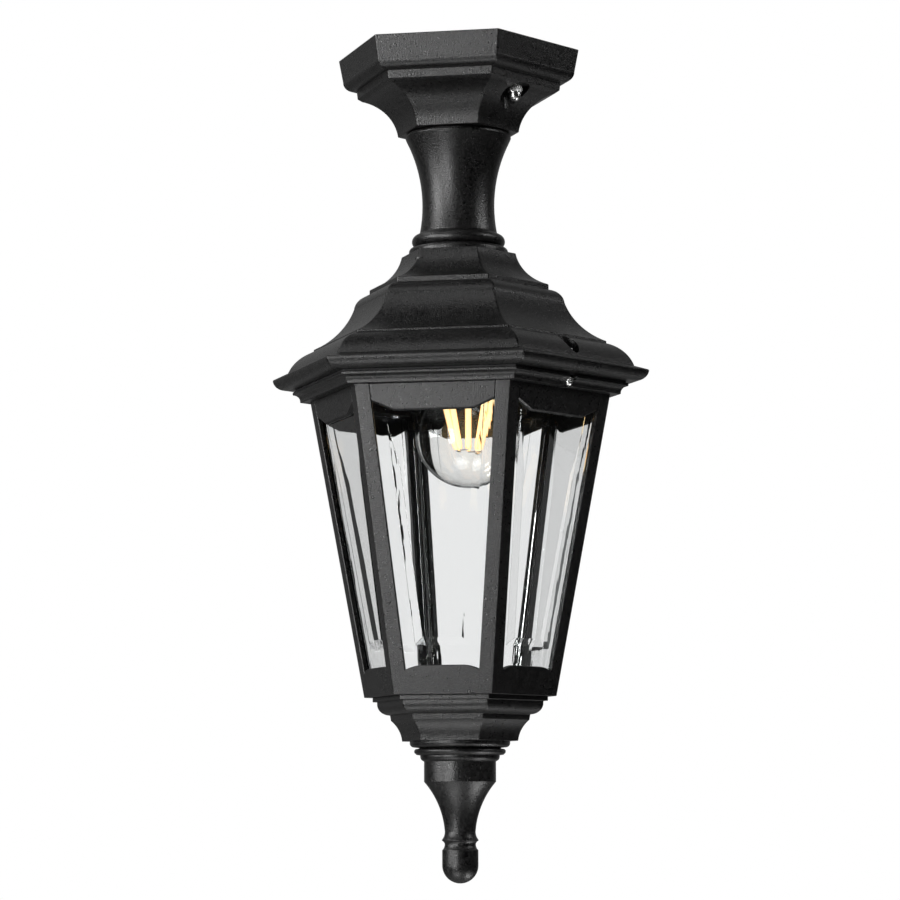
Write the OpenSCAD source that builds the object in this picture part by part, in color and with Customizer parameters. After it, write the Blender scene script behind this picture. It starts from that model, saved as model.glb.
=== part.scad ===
// Porch ceiling lantern: a hexagonal hood and a tapering glazed cage that hang from a
// ceiling canopy on a turned neck, with a turned finial below.
// Millimetres. The origin is the middle of the ceiling face, and the lantern hangs in -Z.
// The access side, with the canopy nut and the cage screw, is -Y. The hinge is at +Y.

/* [Canopy] */
// Width of the canopy across flats, at the ceiling
canopy_flats = 134; // [130:1:138]
// Height of the canopy
canopy_h = 51.1; // [50.8:0.1:51.4]
// Distance of each canopy stud from the axis
stud_reach = 47; // [46:0.5:48]
// Distance between the two ceiling screws
ceiling_screw_spacing = 51; // [48:1:54]
// Diameter of the pockets that hide the canopy nuts
nut_pocket_d = 18.4; // [17:0.1:18.8]

/* [Neck and stem] */
// Diameter of the neck at its waist
neck_waist_d = 45.2; // [44:0.2:47]
// Diameter of the threaded stem tube
stem_d = 10; // [9.6:0.2:10.2]

/* [Roof] */
// Width of the eave across flats
eave_flats = 208; // [206:1:210]
// Thickness of the cast walls
wall = 3.2; // [3:0.1:3.4]

/* [Cage] */
// Width of the cage across flats under the roof
cage_top_flats = 165.4; // [164.6:0.2:166]
// Width of the cage across flats at its foot
cage_foot_flats = 105.2; // [104.6:0.2:106]
// Width of the strip that each post shows on each face
post_strip = 9; // [8.6:0.1:9.4]
// Thickness of posts and rails
plate = 3; // [2.8:0.1:3.1]
// Width of the notch for the cage screw
notch_w = 9; // [8:0.5:10]

/* [Glass] */
// Thickness of a pane at its margin
pane_t = 2.1; // [1.9:0.1:2.2]
// Height of the raised field over the margin
field_rise = 1.4; // [1:0.1:1.5]
// Width of the bevel round the raised field
bevel_w = 5; // [4:0.5:6]

/* [Lamp] */
// Diameter of the lamp's glass
lamp_d = 66; // [64:1:68]
// How far the lampholder sits to the side of the axis
lamp_offset = [4, -4.5]; // [-5:0.5:5]
// Number of glowing filaments
filaments = 8; // [4:1:10]

/* [Hinge and screws] */
// Diameter of the hinge pin
hinge_pin_d = 4; // [3:0.5:4]
// Distance of the cage screw from the axis
screw_reach = 88.5; // [88:0.5:89]

/* [Hidden] */

$fn = 64;
eps = 0.02;
reach = 260;
sides = [0:5];
black = [0.09, 0.09, 0.09];
steel = [0.72, 0.73, 0.75];
brass = [0.78, 0.62, 0.3];
clear = [0.8, 0.88, 0.9, 0.4];

// Heights of the joints between the pieces
neck_z = -canopy_h;
roof_z = -123.7;
roof_hex_z = -127.9;
roof_floor_z = -131.8;
eave_z = -210.4;
rim_z = -211.6;
cage_z = -218.5;
foot_z = -404.3;
base_z = -431.5;
finial_z = -436;
tip_z = -518.6;

// The leaning faces of the cage
cage_top = cage_top_flats / 2;
cage_foot = cage_foot_flats / 2;
lean = atan((cage_top - cage_foot) / (cage_z - foot_z));

// Points of the arc from p to q. A positive radius bulges away from the axis on a
// downward run, a negative one bulges towards it.
function bow(p, q, radius) =
    let (
        d = q - p,
        outward = [-d[1], d[0]] / norm(d),
        half = norm(d) / 2,
        c = (p + q) / 2 - sign(radius) * outward * sqrt(radius * radius - half * half),
        start = atan2(p[1] - c[1], p[0] - c[0]),
        sweep = 2 * asin(half / abs(radius)),
        steps = max(3, ceil(sweep / 5))
    )
    [for (i = [0:steps])
        let (turn = start - sign(radius) * sweep * i / steps)
        c + abs(radius) * [cos(turn), sin(turn)]];

// Height below the origin to distance up the cage's leaning face
function up_face(z) = (z - cage_z) / cos(lean);
// Half the width of the face between its corner lines, at v up the face and depth behind it
function face_half(v, depth = 0) = (cage_top + v * sin(lean) - depth * cos(lean)) * tan(30);
// Half width across flats of the cage at height z
function cage_half(z) = cage_top + (z - cage_z) * tan(lean);

// Solid with a regular hexagon at every height, flats at +Y and -Y. The outline runs down
// from the top as [half width across flats, height].
module hex_solid(outline) {
    last = len(outline) - 1;
    mirrored = [for (i = [last:-1:0]) [-outline[i][0], outline[i][1]]];
    intersection_for (turn = [0, 60, 120])
        rotate([0, 0, turn])
            rotate([90, 0, 90])
                linear_extrude(height = reach, center = true)
                    polygon(concat(outline, mirrored));
}

// Solid of revolution. The outline runs down from the top as [radius, height].
module turned(outline) {
    first = outline[0];
    last = outline[len(outline) - 1];
    rotate_extrude($fn = 96)
        polygon(concat([[0, first[1]]], outline, [[0, last[1]]]));
}

// Hexagonal slab of half width a between two heights
module hex_slab(a, top, bottom) hex_solid([[a, top], [a, bottom]]);

// Upright cylinder from z1 up to z2
module post(r, z1, z2) translate([0, 0, z1]) cylinder(r = r, h = z2 - z1);

// Hexagonal nut from z1 up to z2, chamfered at both ends, without its bore
module nut_body(flats, z1, z2) {
    corner = flats / sqrt(3);
    edge = flats / 2;
    intersection() {
        translate([0, 0, z1]) cylinder(r = corner, h = z2 - z1, $fn = 6);
        turned([[edge, z2], [corner, z2 - 0.4], [corner, z1 + 0.4], [edge, z1]]);
    }
}

// Nut with its bore
module nut(flats, bore_r, z1, z2) {
    difference() {
        nut_body(flats, z1, z2);
        post(bore_r, z1 - 1, z2 + 1);
    }
}

// Washer from z1 up to z2
module washer(r, bore_r, z1, z2) {
    difference() {
        post(r, z1, z2);
        post(bore_r, z1 - 1, z2 + 1);
    }
}

// Pan head of a screw, from its seat down, with a cross recess
module pan_head(r, h) {
    difference() {
        turned([[r, 0], [r, -h * 0.35], [r * 0.75, -h * 0.85], [r * 0.4, -h]]);
        for (turn = [0, 90])
            rotate([0, 0, turn])
                translate([-r * 0.6, -r * 0.12, -h - eps])
                    cube([r * 1.2, r * 0.24, h * 0.55]);
    }
}

// Copies on the access side and on the hinge side, y from the axis
module fore_and_aft(y) for (s = [-1, 1]) translate([0, s * y, 0]) children();

// One side of the cage: x runs along the face, y up it and z out of it. Side 0 is the
// access side, and the others follow counter-clockwise seen from above.
module on_face(side)
    rotate([0, 0, 60 * side])
        translate([0, -cage_top, cage_z])
            rotate([90 + lean, 0, 0])
                children();

// One corner of the cage: x runs out along the corner, and z stays up
module on_corner(corner) rotate([0, 0, 60 * corner]) children();

// ---------------------------------------------------------------- ceiling and canopy

bracket_t = 2;
bracket_w = 22;
bracket_half = 56;
bracket_step_y = 38;
bracket_drop = 8;
slot_l = 16;
slot_w = 4.5;
stud_r = 2;
stud_foot_z = -35.1;
pocket_z = -26;

// Bent steel strap that carries the canopy on two studs
module ceiling_bracket() {
    color(steel) difference() {
        union() {
            translate([-bracket_w / 2, -bracket_step_y, -bracket_t])
                cube([bracket_w, 2 * bracket_step_y, bracket_t]);
            for (s = [0, 180])
                rotate([0, 0, s]) {
                    translate([-bracket_w / 2, bracket_step_y - bracket_t, -bracket_drop - bracket_t])
                        cube([bracket_w, bracket_t, bracket_drop + bracket_t]);
                    translate([-bracket_w / 2, bracket_step_y - bracket_t, -bracket_drop - bracket_t])
                        cube([bracket_w, bracket_half - bracket_step_y + bracket_t, bracket_t]);
                }
        }
        fore_and_aft(ceiling_screw_spacing / 2) {
            for (s = [-1, 1])
                translate([0, s * (slot_l - slot_w) / 2, 0]) post(slot_w / 2, -bracket_t - 1, 1);
            translate([-slot_w / 2, -(slot_l - slot_w) / 2, -bracket_t - 1])
                cube([slot_w, slot_l - slot_w, bracket_t + 2]);
        }
        fore_and_aft(stud_reach) post(stud_r + 0.2, -bracket_drop - bracket_t - 1, -bracket_drop + 1);
        translate([earth_x, 0, 0]) post(earth_r, -bracket_t - 1, 1);
        fore_and_aft(block_screw_y) post(1.4, -bracket_t - 1, 1);
    }
}

// Two pan-headed screws that hang from the bracket as studs
module canopy_studs() {
    color(steel) fore_and_aft(stud_reach) {
        post(stud_r, stud_foot_z, -bracket_drop + eps);
        translate([0, 0, -bracket_drop]) mirror([0, 0, 1]) pan_head(3.8, 2.6);
    }
}

// Nuts that lock the studs under the bracket
module stud_locknuts() {
    under = -bracket_drop - bracket_t;
    color(steel) fore_and_aft(stud_reach) nut(7, stud_r + 0.03, under - 3.2, under);
}

canopy_half = canopy_flats / 2;
canopy_outline = concat(
    [[canopy_half, 0]],
    bow([canopy_half - 2.4, -14.2], [canopy_half - 8.6, -20.5], 6.3),
    [[56.9, -20.5], [56.4, -25.4]],
    bow([54, -27.1], [33.7, -canopy_h], -28.8)
);
canopy_hollow = [
    [canopy_half - wall + 0.3, 1], [canopy_half - 5.4, -14], [canopy_half - 13.3, -18.4],
    [canopy_half - 13.7, -22.8], [35.2, -22.8], [29.6, -canopy_h + 3.6]
];

// Cast hexagonal canopy, open at the ceiling, with a nut pocket milled up from below on
// the access side and on the far side
module canopy() {
    color(black) difference() {
        hex_solid(canopy_outline);
        hex_solid(canopy_hollow);
        gasket_ring(canopy_half - 4.6, canopy_half - 1.6, 1, -1.8);
        post(stem_d / 2 + 0.3, -canopy_h - 1, -canopy_h + 5);
        fore_and_aft(stud_reach) {
            post(nut_pocket_d / 2, -canopy_h, pocket_z);
            post(stud_r + 0.4, -canopy_h, -10);
        }
    }
}

// Hexagonal ring between two half widths and two heights
module gasket_ring(inner, outer, top, bottom) {
    difference() {
        hex_slab(outer, top, bottom);
        hex_slab(inner, top + 1, bottom - 1);
    }
}

// Foam strip that seals the canopy to the ceiling
module ceiling_gasket() {
    color("dimgray") gasket_ring(canopy_half - 4.5, canopy_half - 1.7, 0, -1.8);
}

// Thin washers under the canopy's cap nuts
module canopy_washers() {
    color(steel) fore_and_aft(stud_reach) washer(4.6, stud_r + 0.2, pocket_z - 0.8, pocket_z);
}

// Cap nuts that hold the canopy up
module canopy_nuts() {
    seat = pocket_z - 0.8;
    color(steel) fore_and_aft(stud_reach) difference() {
        union() {
            nut_body(8, seat - 4, seat);
            turned(concat([[3.7, seat - 3]], bow([3.7, seat - 6], [eps, seat - 9.6], 3.72)));
        }
        post(stud_r + 0.03, seat - 9 + 0.4, seat + 1);
    }
}

block_l = 34;
block_w = 17;
block_h = 13;
block_top = -bracket_t;
pole_pitch = 11;
block_screw_y = 5.5;
earth_x = 7;
tag_x = 13;
tag_z = -3.6;
earth_r = 1.75;

// Three-pole connector block under the bracket
module terminal_block() {
    color("ivory") difference() {
        translate([-block_w / 2, -block_l / 2, block_top - block_h]) cube([block_w, block_l, block_h]);
        for (i = [-1:1])
            translate([0, i * pole_pitch, block_top - block_h / 2]) {
                rotate([0, 90, 0]) cylinder(r = 2.55, h = block_w + 2, center = true);
                for (s = [-1, 1]) translate([s * 4.4, 0, -block_h]) cylinder(r = 1.9, h = block_h);
            }
        fore_and_aft(block_screw_y) post(1.4, block_top - block_h - 1, 0);
        translate([earth_x, 0, 0]) post(4.2, block_top - 3.4, 0);
    }
}

// Brass sleeves in the connector block
module terminal_sleeves() {
    color(brass) for (i = [-1:1])
        translate([0, i * pole_pitch, block_top - block_h / 2])
            difference() {
                rotate([0, 90, 0]) cylinder(r = 2.5, h = block_w - 3, center = true);
                rotate([0, 90, 0]) cylinder(r = 1.4, h = block_w, center = true);
                for (s = [-1, 1]) translate([s * 4.4, 0, -block_h]) cylinder(r = 1.2, h = block_h);
            }
}

// Clamp screws in the connector block
module terminal_screws() {
    color(steel) for (i = [-1:1])
        for (s = [-1, 1])
            translate([s * 4.4, i * pole_pitch, block_top - block_h + 1]) {
                difference() {
                    cylinder(r = 1.7, h = 2.6);
                    translate([-2, -0.25, -eps]) cube([4, 0.5, 0.8]);
                }
                translate([0, 0, 2.5]) cylinder(r = 1.15, h = 2);
            }
}

// Screws that hold the block up to the bracket
module block_screws() {
    color(steel) fore_and_aft(block_screw_y)
        translate([0, 0, block_top - block_h]) {
            cylinder(r = 1.37, h = block_h + bracket_t - 0.4);
            pan_head(2.4, 1.7);
        }
}

// Earth screw in the bracket, head down
module earth_screw() {
    color(brass) translate([earth_x, 0, 0]) {
        post(earth_r - 0.03, -bracket_t - 0.9, -0.3);
        translate([0, 0, -bracket_t - 0.8]) pan_head(3.2, 1.8);
    }
}

// Ring tag of the earth lead, under the earth screw's head, with the barrel that grips the lead
module earth_tag() {
    color(steel) difference() {
        union() {
            translate([earth_x, 0, 0]) post(3.6, -bracket_t - 0.8, -bracket_t);
            translate([earth_x, -1.5, -bracket_t - 0.8]) cube([7.6, 3, 0.8]);
            translate([tag_x, 0, tag_z]) rotate([0, 90, 0]) cylinder(r = 1.5, h = 4.5);
        }
        translate([earth_x, 0, 0]) post(earth_r, -bracket_t - 2, 0);
        translate([tag_x - 1, 0, tag_z]) rotate([0, 90, 0]) cylinder(r = wire_r + 0.03, h = 7);
    }
}

// ---------------------------------------------------------------- neck and stem

neck_waist = neck_waist_d / 2;
neck_outline = concat(
    bow([30.7, neck_z], [33.2, neck_z - 2.5], 2.6),
    bow([32.6, -55.1], [neck_waist, -97], -92),
    bow([neck_waist, -97], [24.2, -113.8], -92),
    [[24.2, -114.4]],
    bow([25.2, -115.4], [29.2, -119.6], 4.25),
    bow([29.2, -119.6], [25.4, roof_z], 4.25)
);

// Turned neck: a flared column over a torus, hollow from the top
module neck() {
    color(black) difference() {
        turned(neck_outline);
        post(17, roof_z + 4, neck_z + 1);
        post(stem_d / 2 + 0.3, roof_z - 1, neck_z);
    }
}

stem_top_z = -38;
stem_foot = -143;

// Threaded tube that clamps canopy, neck and roof together and carries the leads
module stem_tube() {
    color(steel) difference() {
        post(stem_d / 2, stem_foot, stem_top_z);
        post(stem_d / 2 - 1.2, stem_foot - 1, stem_top_z + 1);
    }
}

// Heights of the canopy's floor and of the nuts' seats on both ends of the stem
canopy_floor_z = -canopy_h + 3.6;
stem_washer_t = 1.6;
stem_nut_h = 5;

// Washers on the canopy's floor and under the roof's floor
module stem_washers() {
    color(steel) for (z = [canopy_floor_z, roof_floor_z - stem_washer_t])
        washer(11, stem_d / 2 + 0.2, z, z + stem_washer_t);
}

// Nuts that clamp the stem at both ends
module stem_nuts() {
    color(steel) for (z = [canopy_floor_z + stem_washer_t, roof_floor_z - stem_washer_t - stem_nut_h])
        nut(14, stem_d / 2 + 0.03, z, z + stem_nut_h);
}

// ---------------------------------------------------------------- roof

eave_half = eave_flats / 2;
roof_outline = concat(
    bow([31.7, roof_hex_z], [49, -147.9], -26.2),
    [[49.7, -148.3], [49.7, -151.5]],
    bow([50.2, -151.7], [58.4, -160.2], 9.6),
    bow([58.4, -160.2], [80.2, -184.7], -41.9),
    [[80.9, -184.9], [81, -186.4]],
    bow([81, -186.4], [96, -201], 22.3),
    [[eave_half - 0.3, -203.5]],
    bow([eave_half, -204.2], [eave_half - 6.8, eave_z + 0.1], 7),
    [[eave_half - 7, eave_z]]
);
roof_hollow = concat(
    bow([28.6, roof_floor_z], [46.2, -151.2], -29.6),
    [[46.6, -154.6]],
    bow([48, -155], [55.3, -161.4], 7),
    bow([55.3, -161.4], [77, -187.4], -45.2),
    [[79.2, -190.6], [86.5, -197], [86.5, eave_z - 1]]
);
roof_cap_outline = concat(
    [[28.4, roof_z]],
    bow([28.5, roof_z], [31.1, -126.3], 2.7),
    [[31.1, roof_hex_z - eps]]
);
screw_pocket_r = 6.5;
screw_pocket_z = -198.5;
holder_plate_z = -150;
holder_boss_x = 35;

// Hinge
hinge_y = 96;
hinge_z = -214.4;
hinge_r = 3;
knuckle_half = 9;
lug_w = 5.5;
pin_r = hinge_pin_d / 2;

// Lug of the hinge between x1 and x2, hung from height top
module hinge_lug(x1, x2, top) {
    translate([x1, hinge_y, hinge_z]) rotate([0, 90, 0]) cylinder(r = hinge_r, h = x2 - x1);
    translate([x1, hinge_y - hinge_r, hinge_z]) cube([x2 - x1, 2 * hinge_r, top - hinge_z]);
}

// Cast hexagonal roof, open below, with the hinge lugs at the back
module roof() {
    color(black) difference() {
        union() {
            difference() {
                hex_solid(roof_outline);
                hex_solid(roof_hollow);
            }
            turned(roof_cap_outline);
            intersection() {
                translate([0, -screw_reach, 0]) post(screw_pocket_r + 2.8, eave_z, -180);
                hex_solid(roof_outline);
            }
            for (s = [-1, 1]) translate([s * holder_boss_x, 0, 0]) post(4, holder_plate_z, -134);
            for (s = [0, 180])
                rotate([0, 0, s])
                    mirror([0, s == 0 ? 0 : 1, 0])
                        hinge_lug(knuckle_half + 0.3, knuckle_half + 0.3 + lug_w, eave_z + 1);
        }
        post(stem_d / 2 + 0.3, roof_floor_z - 1, roof_z + 1);
        translate([0, -screw_reach, 0]) {
            post(screw_pocket_r, screw_pocket_z, -170);
            post(screw_r + 0.25, eave_z - 1, -190);
        }
        for (s = [-1, 1])
            translate([s * holder_boss_x, 0, 0]) post(1.3, holder_plate_z - 1, holder_plate_z + 9);
        translate([0, hinge_y, hinge_z])
            rotate([0, 90, 0]) cylinder(r = pin_r + 0.03, h = 60, center = true);
    }
}

gasket_t = eave_z - rim_z;

// Rubber strip between the roof's foot and the cage's rim
module roof_gasket() {
    color("dimgray") difference() {
        gasket_ring(87.6, 91.2, eave_z, eave_z - gasket_t);
        translate([0, -screw_reach, 0]) post(screw_r + 1, rim_z - 1, eave_z + 1);
    }
}

plate_r = 42;

// Steel plate in the roof that carries the lampholder and covers the wiring
module holder_plate() {
    color(steel) difference() {
        post(plate_r, holder_plate_z - 1.5, holder_plate_z);
        for (s = [-1, 1])
            translate([s * holder_boss_x, 0, 0]) post(1.7, holder_plate_z - 3, holder_plate_z + 1);
        translate(lamp_offset) {
            post(6, holder_plate_z - 3, holder_plate_z + 1);
            for (s = [-1, 1])
                translate([0, s * holder_screw_y, 0]) post(1.7, holder_plate_z - 3, holder_plate_z + 1);
        }
    }
}

// Screws that hold the plate up
module holder_plate_screws() {
    color(steel) for (s = [-1, 1])
        translate([s * holder_boss_x, 0, holder_plate_z - 1.5]) {
            cylinder(r = 1.27, h = 9);
            pan_head(2.9, 1.9);
        }
}

// ---------------------------------------------------------------- lampholder and leads

holder_top = holder_plate_z - 1.5;
holder_mouth = -196;
holder_seat = -166.5;
holder_screw_y = 13;

// Porcelain lampholder, open below
module lampholder() {
    color("ghostwhite") translate(lamp_offset) difference() {
        turned(concat(
            [[19.5, holder_top], [19.5, holder_top - 4]],
            bow([17.2, holder_top - 5.5], [17.2, -172], -60),
            [[19.8, -175.5]],
            bow([19.8, -175.5], [20.2, holder_mouth + 1.5], 80),
            [[18.9, holder_mouth]]
        ));
        post(15.2, holder_mouth - 1, holder_seat);
        post(4.5, holder_seat - 1, holder_top + 1);
        for (s = [-1, 1]) translate([0, s * holder_screw_y, 0]) {
            post(1.7, holder_seat - 1, holder_top + 1);
            post(3.2, holder_seat - 1, holder_seat + 5);
        }
    }
}

// Screws that hold the lampholder to its plate
module lampholder_screws() {
    color(steel) translate(lamp_offset)
        for (s = [-1, 1])
            translate([0, s * holder_screw_y, holder_seat + 5]) {
                cylinder(r = 1.6, h = holder_top - holder_seat - 5 + 3);
                translate([0, 0, 0]) pan_head(2.9, 1.9);
            }
}

// Brass screw shell in the lampholder
module lampholder_sleeve() {
    color(brass) translate(lamp_offset) washer(15.1, 14.5, -190, holder_seat - 0.1);
}

// Sprung centre contact
module lampholder_contact() {
    color(brass) translate(lamp_offset) {
        translate([-9, -3, holder_seat - 0.7]) cube([18, 6, 0.6]);
        post(3, holder_seat - 1.3, holder_seat - 0.6);
    }
}

wire_r = 0.9;
wire_sides = 8;
// Routes of the leads from the connector block down the stem to the lampholder
live_route = [
    [2, -11, -8.5], [10, -11, -8.5], [13, -10.8, -9.6], [14, -10, -13], [13, -8, -19], [10, -5.6, -25],
    [5.6, -3.2, -31], [2.4, -1.6, -36], [1.2, -0.9, -42], [1.2, -0.9, -90], [1.2, -0.9, -138],
    [1.6, -1.4, -143], [2.6, -3, -147], [3.4, -4.2, -152], [4.2, -4.4, -158], [4.8, -4.2, -164.4]
];
neutral_route = [
    [2, 0, -8.5], [10, 0, -8.5], [13.4, 0.2, -9.6], [14.6, 0.6, -13], [13, 1.4, -19.5], [9, 2.2, -26],
    [4.4, 2.6, -32], [1, 2.2, -37], [-0.2, 1.6, -42], [-0.2, 1.6, -90], [-0.2, 1.6, -138],
    [0, 0.6, -143], [0.8, -1.8, -147], [1.6, -2.8, -152], [1.6, -2.8, -158], [1.5, -2.7, -164.4]
];
earth_route = [
    [14, 0, -3.6], [18.6, 0, -3.6], [21, 1.4, -5], [21.6, 4, -9.4], [18, 7, -17], [10, 6.6, -25],
    [1, 3.6, -31], [-2.4, 0, -36.4], [-1.5, -1.1, -42], [-1.5, -1.1, -90], [-1.5, -1.1, -138],
    [-2.6, -1, -144], [-7, 0, -147], [-14, 1, -148.4], [-22, 1, -148.9], [-30.4, 0.4, -149]
];

// Tube of radius wire_r swept along a route
module lead(route) {
    last = len(route) - 1;
    ring = [for (i = [0:last])
        let (
            before = route[max(i - 1, 0)],
            after = route[min(i + 1, last)],
            along = (after - before) / norm(after - before),
            across = cross(along, [0.1, 1, 0.2]) / norm(cross(along, [0.1, 1, 0.2])),
            over = cross(along, across)
        )
        for (k = [0:wire_sides - 1])
            let (turn = 360 * k / wire_sides)
            route[i] + wire_r * (across * cos(turn) + over * sin(turn))];
    walls = [for (i = [0:last - 1])
        for (k = [0:wire_sides - 1])
            let (a = i * wire_sides + k, b = i * wire_sides + (k + 1) % wire_sides)
            for (t = [[a, b + wire_sides, b], [a, a + wire_sides, b + wire_sides]]) t];
    near_end = [for (k = [0:wire_sides - 1]) k];
    far_end = [for (k = [wire_sides - 1:-1:0]) last * wire_sides + k];
    polyhedron(ring, concat(walls, [near_end, far_end]));
}

module live_lead() {
    color("saddlebrown") lead(live_route);
}

module neutral_lead() {
    color("royalblue") lead(neutral_route);
}

module earth_lead() {
    color("limegreen") lead(earth_route);
}

// ---------------------------------------------------------------- lamp

lamp_r = lamp_d / 2;
lamp_z = -241.3;
cap_top = -172;
cap_foot = -194.5;
glass_t = 0.9;
neck_join = [lamp_r * 0.8, lamp_z + lamp_r * 0.6];
glass_outline = concat(
    bow([13.3, cap_foot + 1.2], neck_join, -44),
    bow(neck_join, [lamp_r, lamp_z], lamp_r),
    bow([lamp_r, lamp_z], [eps, lamp_z - lamp_r], lamp_r)
);

// Clear glass envelope, hollow
module lamp_glass() {
    inner_r = lamp_r - glass_t;
    inner_join = [inner_r * 0.8, lamp_z + inner_r * 0.6];
    color(clear) translate(lamp_offset) difference() {
        turned(glass_outline);
        turned(concat(
            [[5, cap_foot - 1]],
            bow([12.5, cap_foot - 1.5], inner_join, -44),
            bow(inner_join, [inner_r, lamp_z], inner_r),
            bow([inner_r, lamp_z], [eps, lamp_z - inner_r], inner_r)
        ));
        post(2.6, cap_foot - 3, cap_foot + 4);
    }
}

// Screw cap of the lamp
module lamp_cap() {
    color(steel) translate(lamp_offset) difference() {
        turned([
            [11.6, cap_top], [13.2, cap_top - 1.6], [13.2, cap_foot + 3], [14.1, cap_foot + 2.2],
            [14.1, cap_foot]
        ]);
        turned([[10.8, cap_top - 0.8], [12.6, cap_top - 2], [12.6, cap_foot + 3],
            [13.55, cap_foot + 1.9], [13.55, cap_foot - 1]]);
        post(8, cap_top - 2, cap_top + 1);
    }
}

// Black glass insulator at the top of the cap
module lamp_insulator() {
    color("black") translate(lamp_offset)
        difference() {
            turned([[6, cap_top + 2.6], [10.2, cap_top + eps], [7.9, cap_top], [7.9, cap_top - 1.6]]);
            post(1.2, cap_top - 3, cap_top + 4);
        }
}

// Centre contact of the lamp
module lamp_contact() {
    color(brass) translate(lamp_offset) {
        turned([[3.4, cap_top + 3.5], [4.6, cap_top + 3.1], [4.6, cap_top + 2.6]]);
        post(1.1, cap_top - 2, cap_top + 2.7);
    }
}

filament_foot_z = -250.5;
filament_top_z = -215;
filament_foot_r = 7.5;
filament_top_r = 16.2;
filament_turn = -4;

// Glass stem that carries the filaments
module lamp_stem() {
    color(clear) translate(lamp_offset)
        turned(concat(
            [[2.5, cap_foot + 3.5], [2.5, cap_foot - 1.7]],
            bow([8, cap_foot - 1.8], [2.6, cap_foot - 11], -11),
            [[2.4, filament_top_z + 1]],
            bow([3.4, filament_top_z], [1, filament_top_z - 3], 3)
        ));
}

// Turn of the filament with number i round the lamp's axis
function filament_at(i) = filament_turn + 360 * i / filaments;

// Glowing rods in a crown that narrows downwards
module lamp_filaments() {
    fall = filament_top_z - filament_foot_z;
    splay = filament_foot_r - filament_top_r;
    color("gold") translate(lamp_offset)
        for (i = [0:filaments - 1])
            rotate([0, 0, filament_at(i)])
                translate([filament_top_r, 0, filament_top_z])
                    rotate([0, 180 - atan(splay / fall), 0])
                        cylinder(r = 0.95, h = norm([fall, splay]));
}

// Support wires at the top of the filaments and links at their feet
module lamp_links() {
    color(steel) translate(lamp_offset) {
        for (i = [0:filaments - 1])
            rotate([0, 0, filament_at(i)])
                translate([1.8, 0, filament_top_z + 1.1])
                    rotate([0, 90, 0]) cylinder(r = 0.35, h = filament_top_r - 1.2);
        for (i = [0:2:filaments - 1])
            rotate([0, 0, filament_at(i + 0.5)])
                translate([filament_foot_r * cos(180 / filaments) - 0.1, 0, filament_foot_z - 0.6])
                    rotate([90, 0, 0])
                        cylinder(r = 0.45, h = 2 * filament_foot_r * sin(180 / filaments), center = true);
    }
}

// ---------------------------------------------------------------- cage

rim_outline = concat(
    [[92.7, rim_z], [92.7, rim_z - 1.9], [91.4, rim_z - 2.1]],
    bow([91.4, rim_z - 2.1], [88.4, cage_z + 1.1], -4.2),
    [[88.4, cage_z]]
);
rim_inner = 68;
window_top_z = -229.4;
window_foot_z = -389.6;
arch_z = -387.1;
tab_z = -235;
tab_half = 24.3;
arch_half = 11.8;
ledge_z = -392;
lip_z = -389.8;
pane_back = 6.8;
ledge_depth = 8.6;
rib_t = 3;
clip_depth = pane_back + 0.2;
notch_back = 83;
nut_seat_z = -213.4;
screw_r = 1.5;
screw_slot = 2.2;

// Outline of the lower edge of the top rail, from left to right, at v up the face
rail_edge = [
    [-face_half(up_face(window_top_z)) + post_strip, up_face(window_top_z)],
    [-tab_half, up_face(tab_z)], [tab_half, up_face(tab_z)],
    [face_half(up_face(window_top_z)) - post_strip, up_face(window_top_z)]
];

// Shell of the cage from top to bottom, at a depth behind its faces
module cage_prism(depth, top, bottom) {
    d = depth / cos(lean);
    hex_solid([[cage_half(top) - d, top], [cage_half(bottom) - d, bottom]]);
}

// Window in one face, up into the rim where the top rail goes
module window_cut() {
    foot = up_face(window_foot_z);
    arch = up_face(arch_z);
    head = up_face(cage_z);
    foot_half = face_half(foot) - post_strip;
    head_half = face_half(head) - post_strip;
    translate([0, 0, -plate - 1])
        linear_extrude(height = plate + 3)
            polygon(concat(
                [[head_half, head]],
                bow([foot_half, foot], [arch_half, arch], -24),
                bow([-arch_half, arch], [-foot_half, foot], -24),
                [[-head_half, head]]
            ));
}

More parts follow.
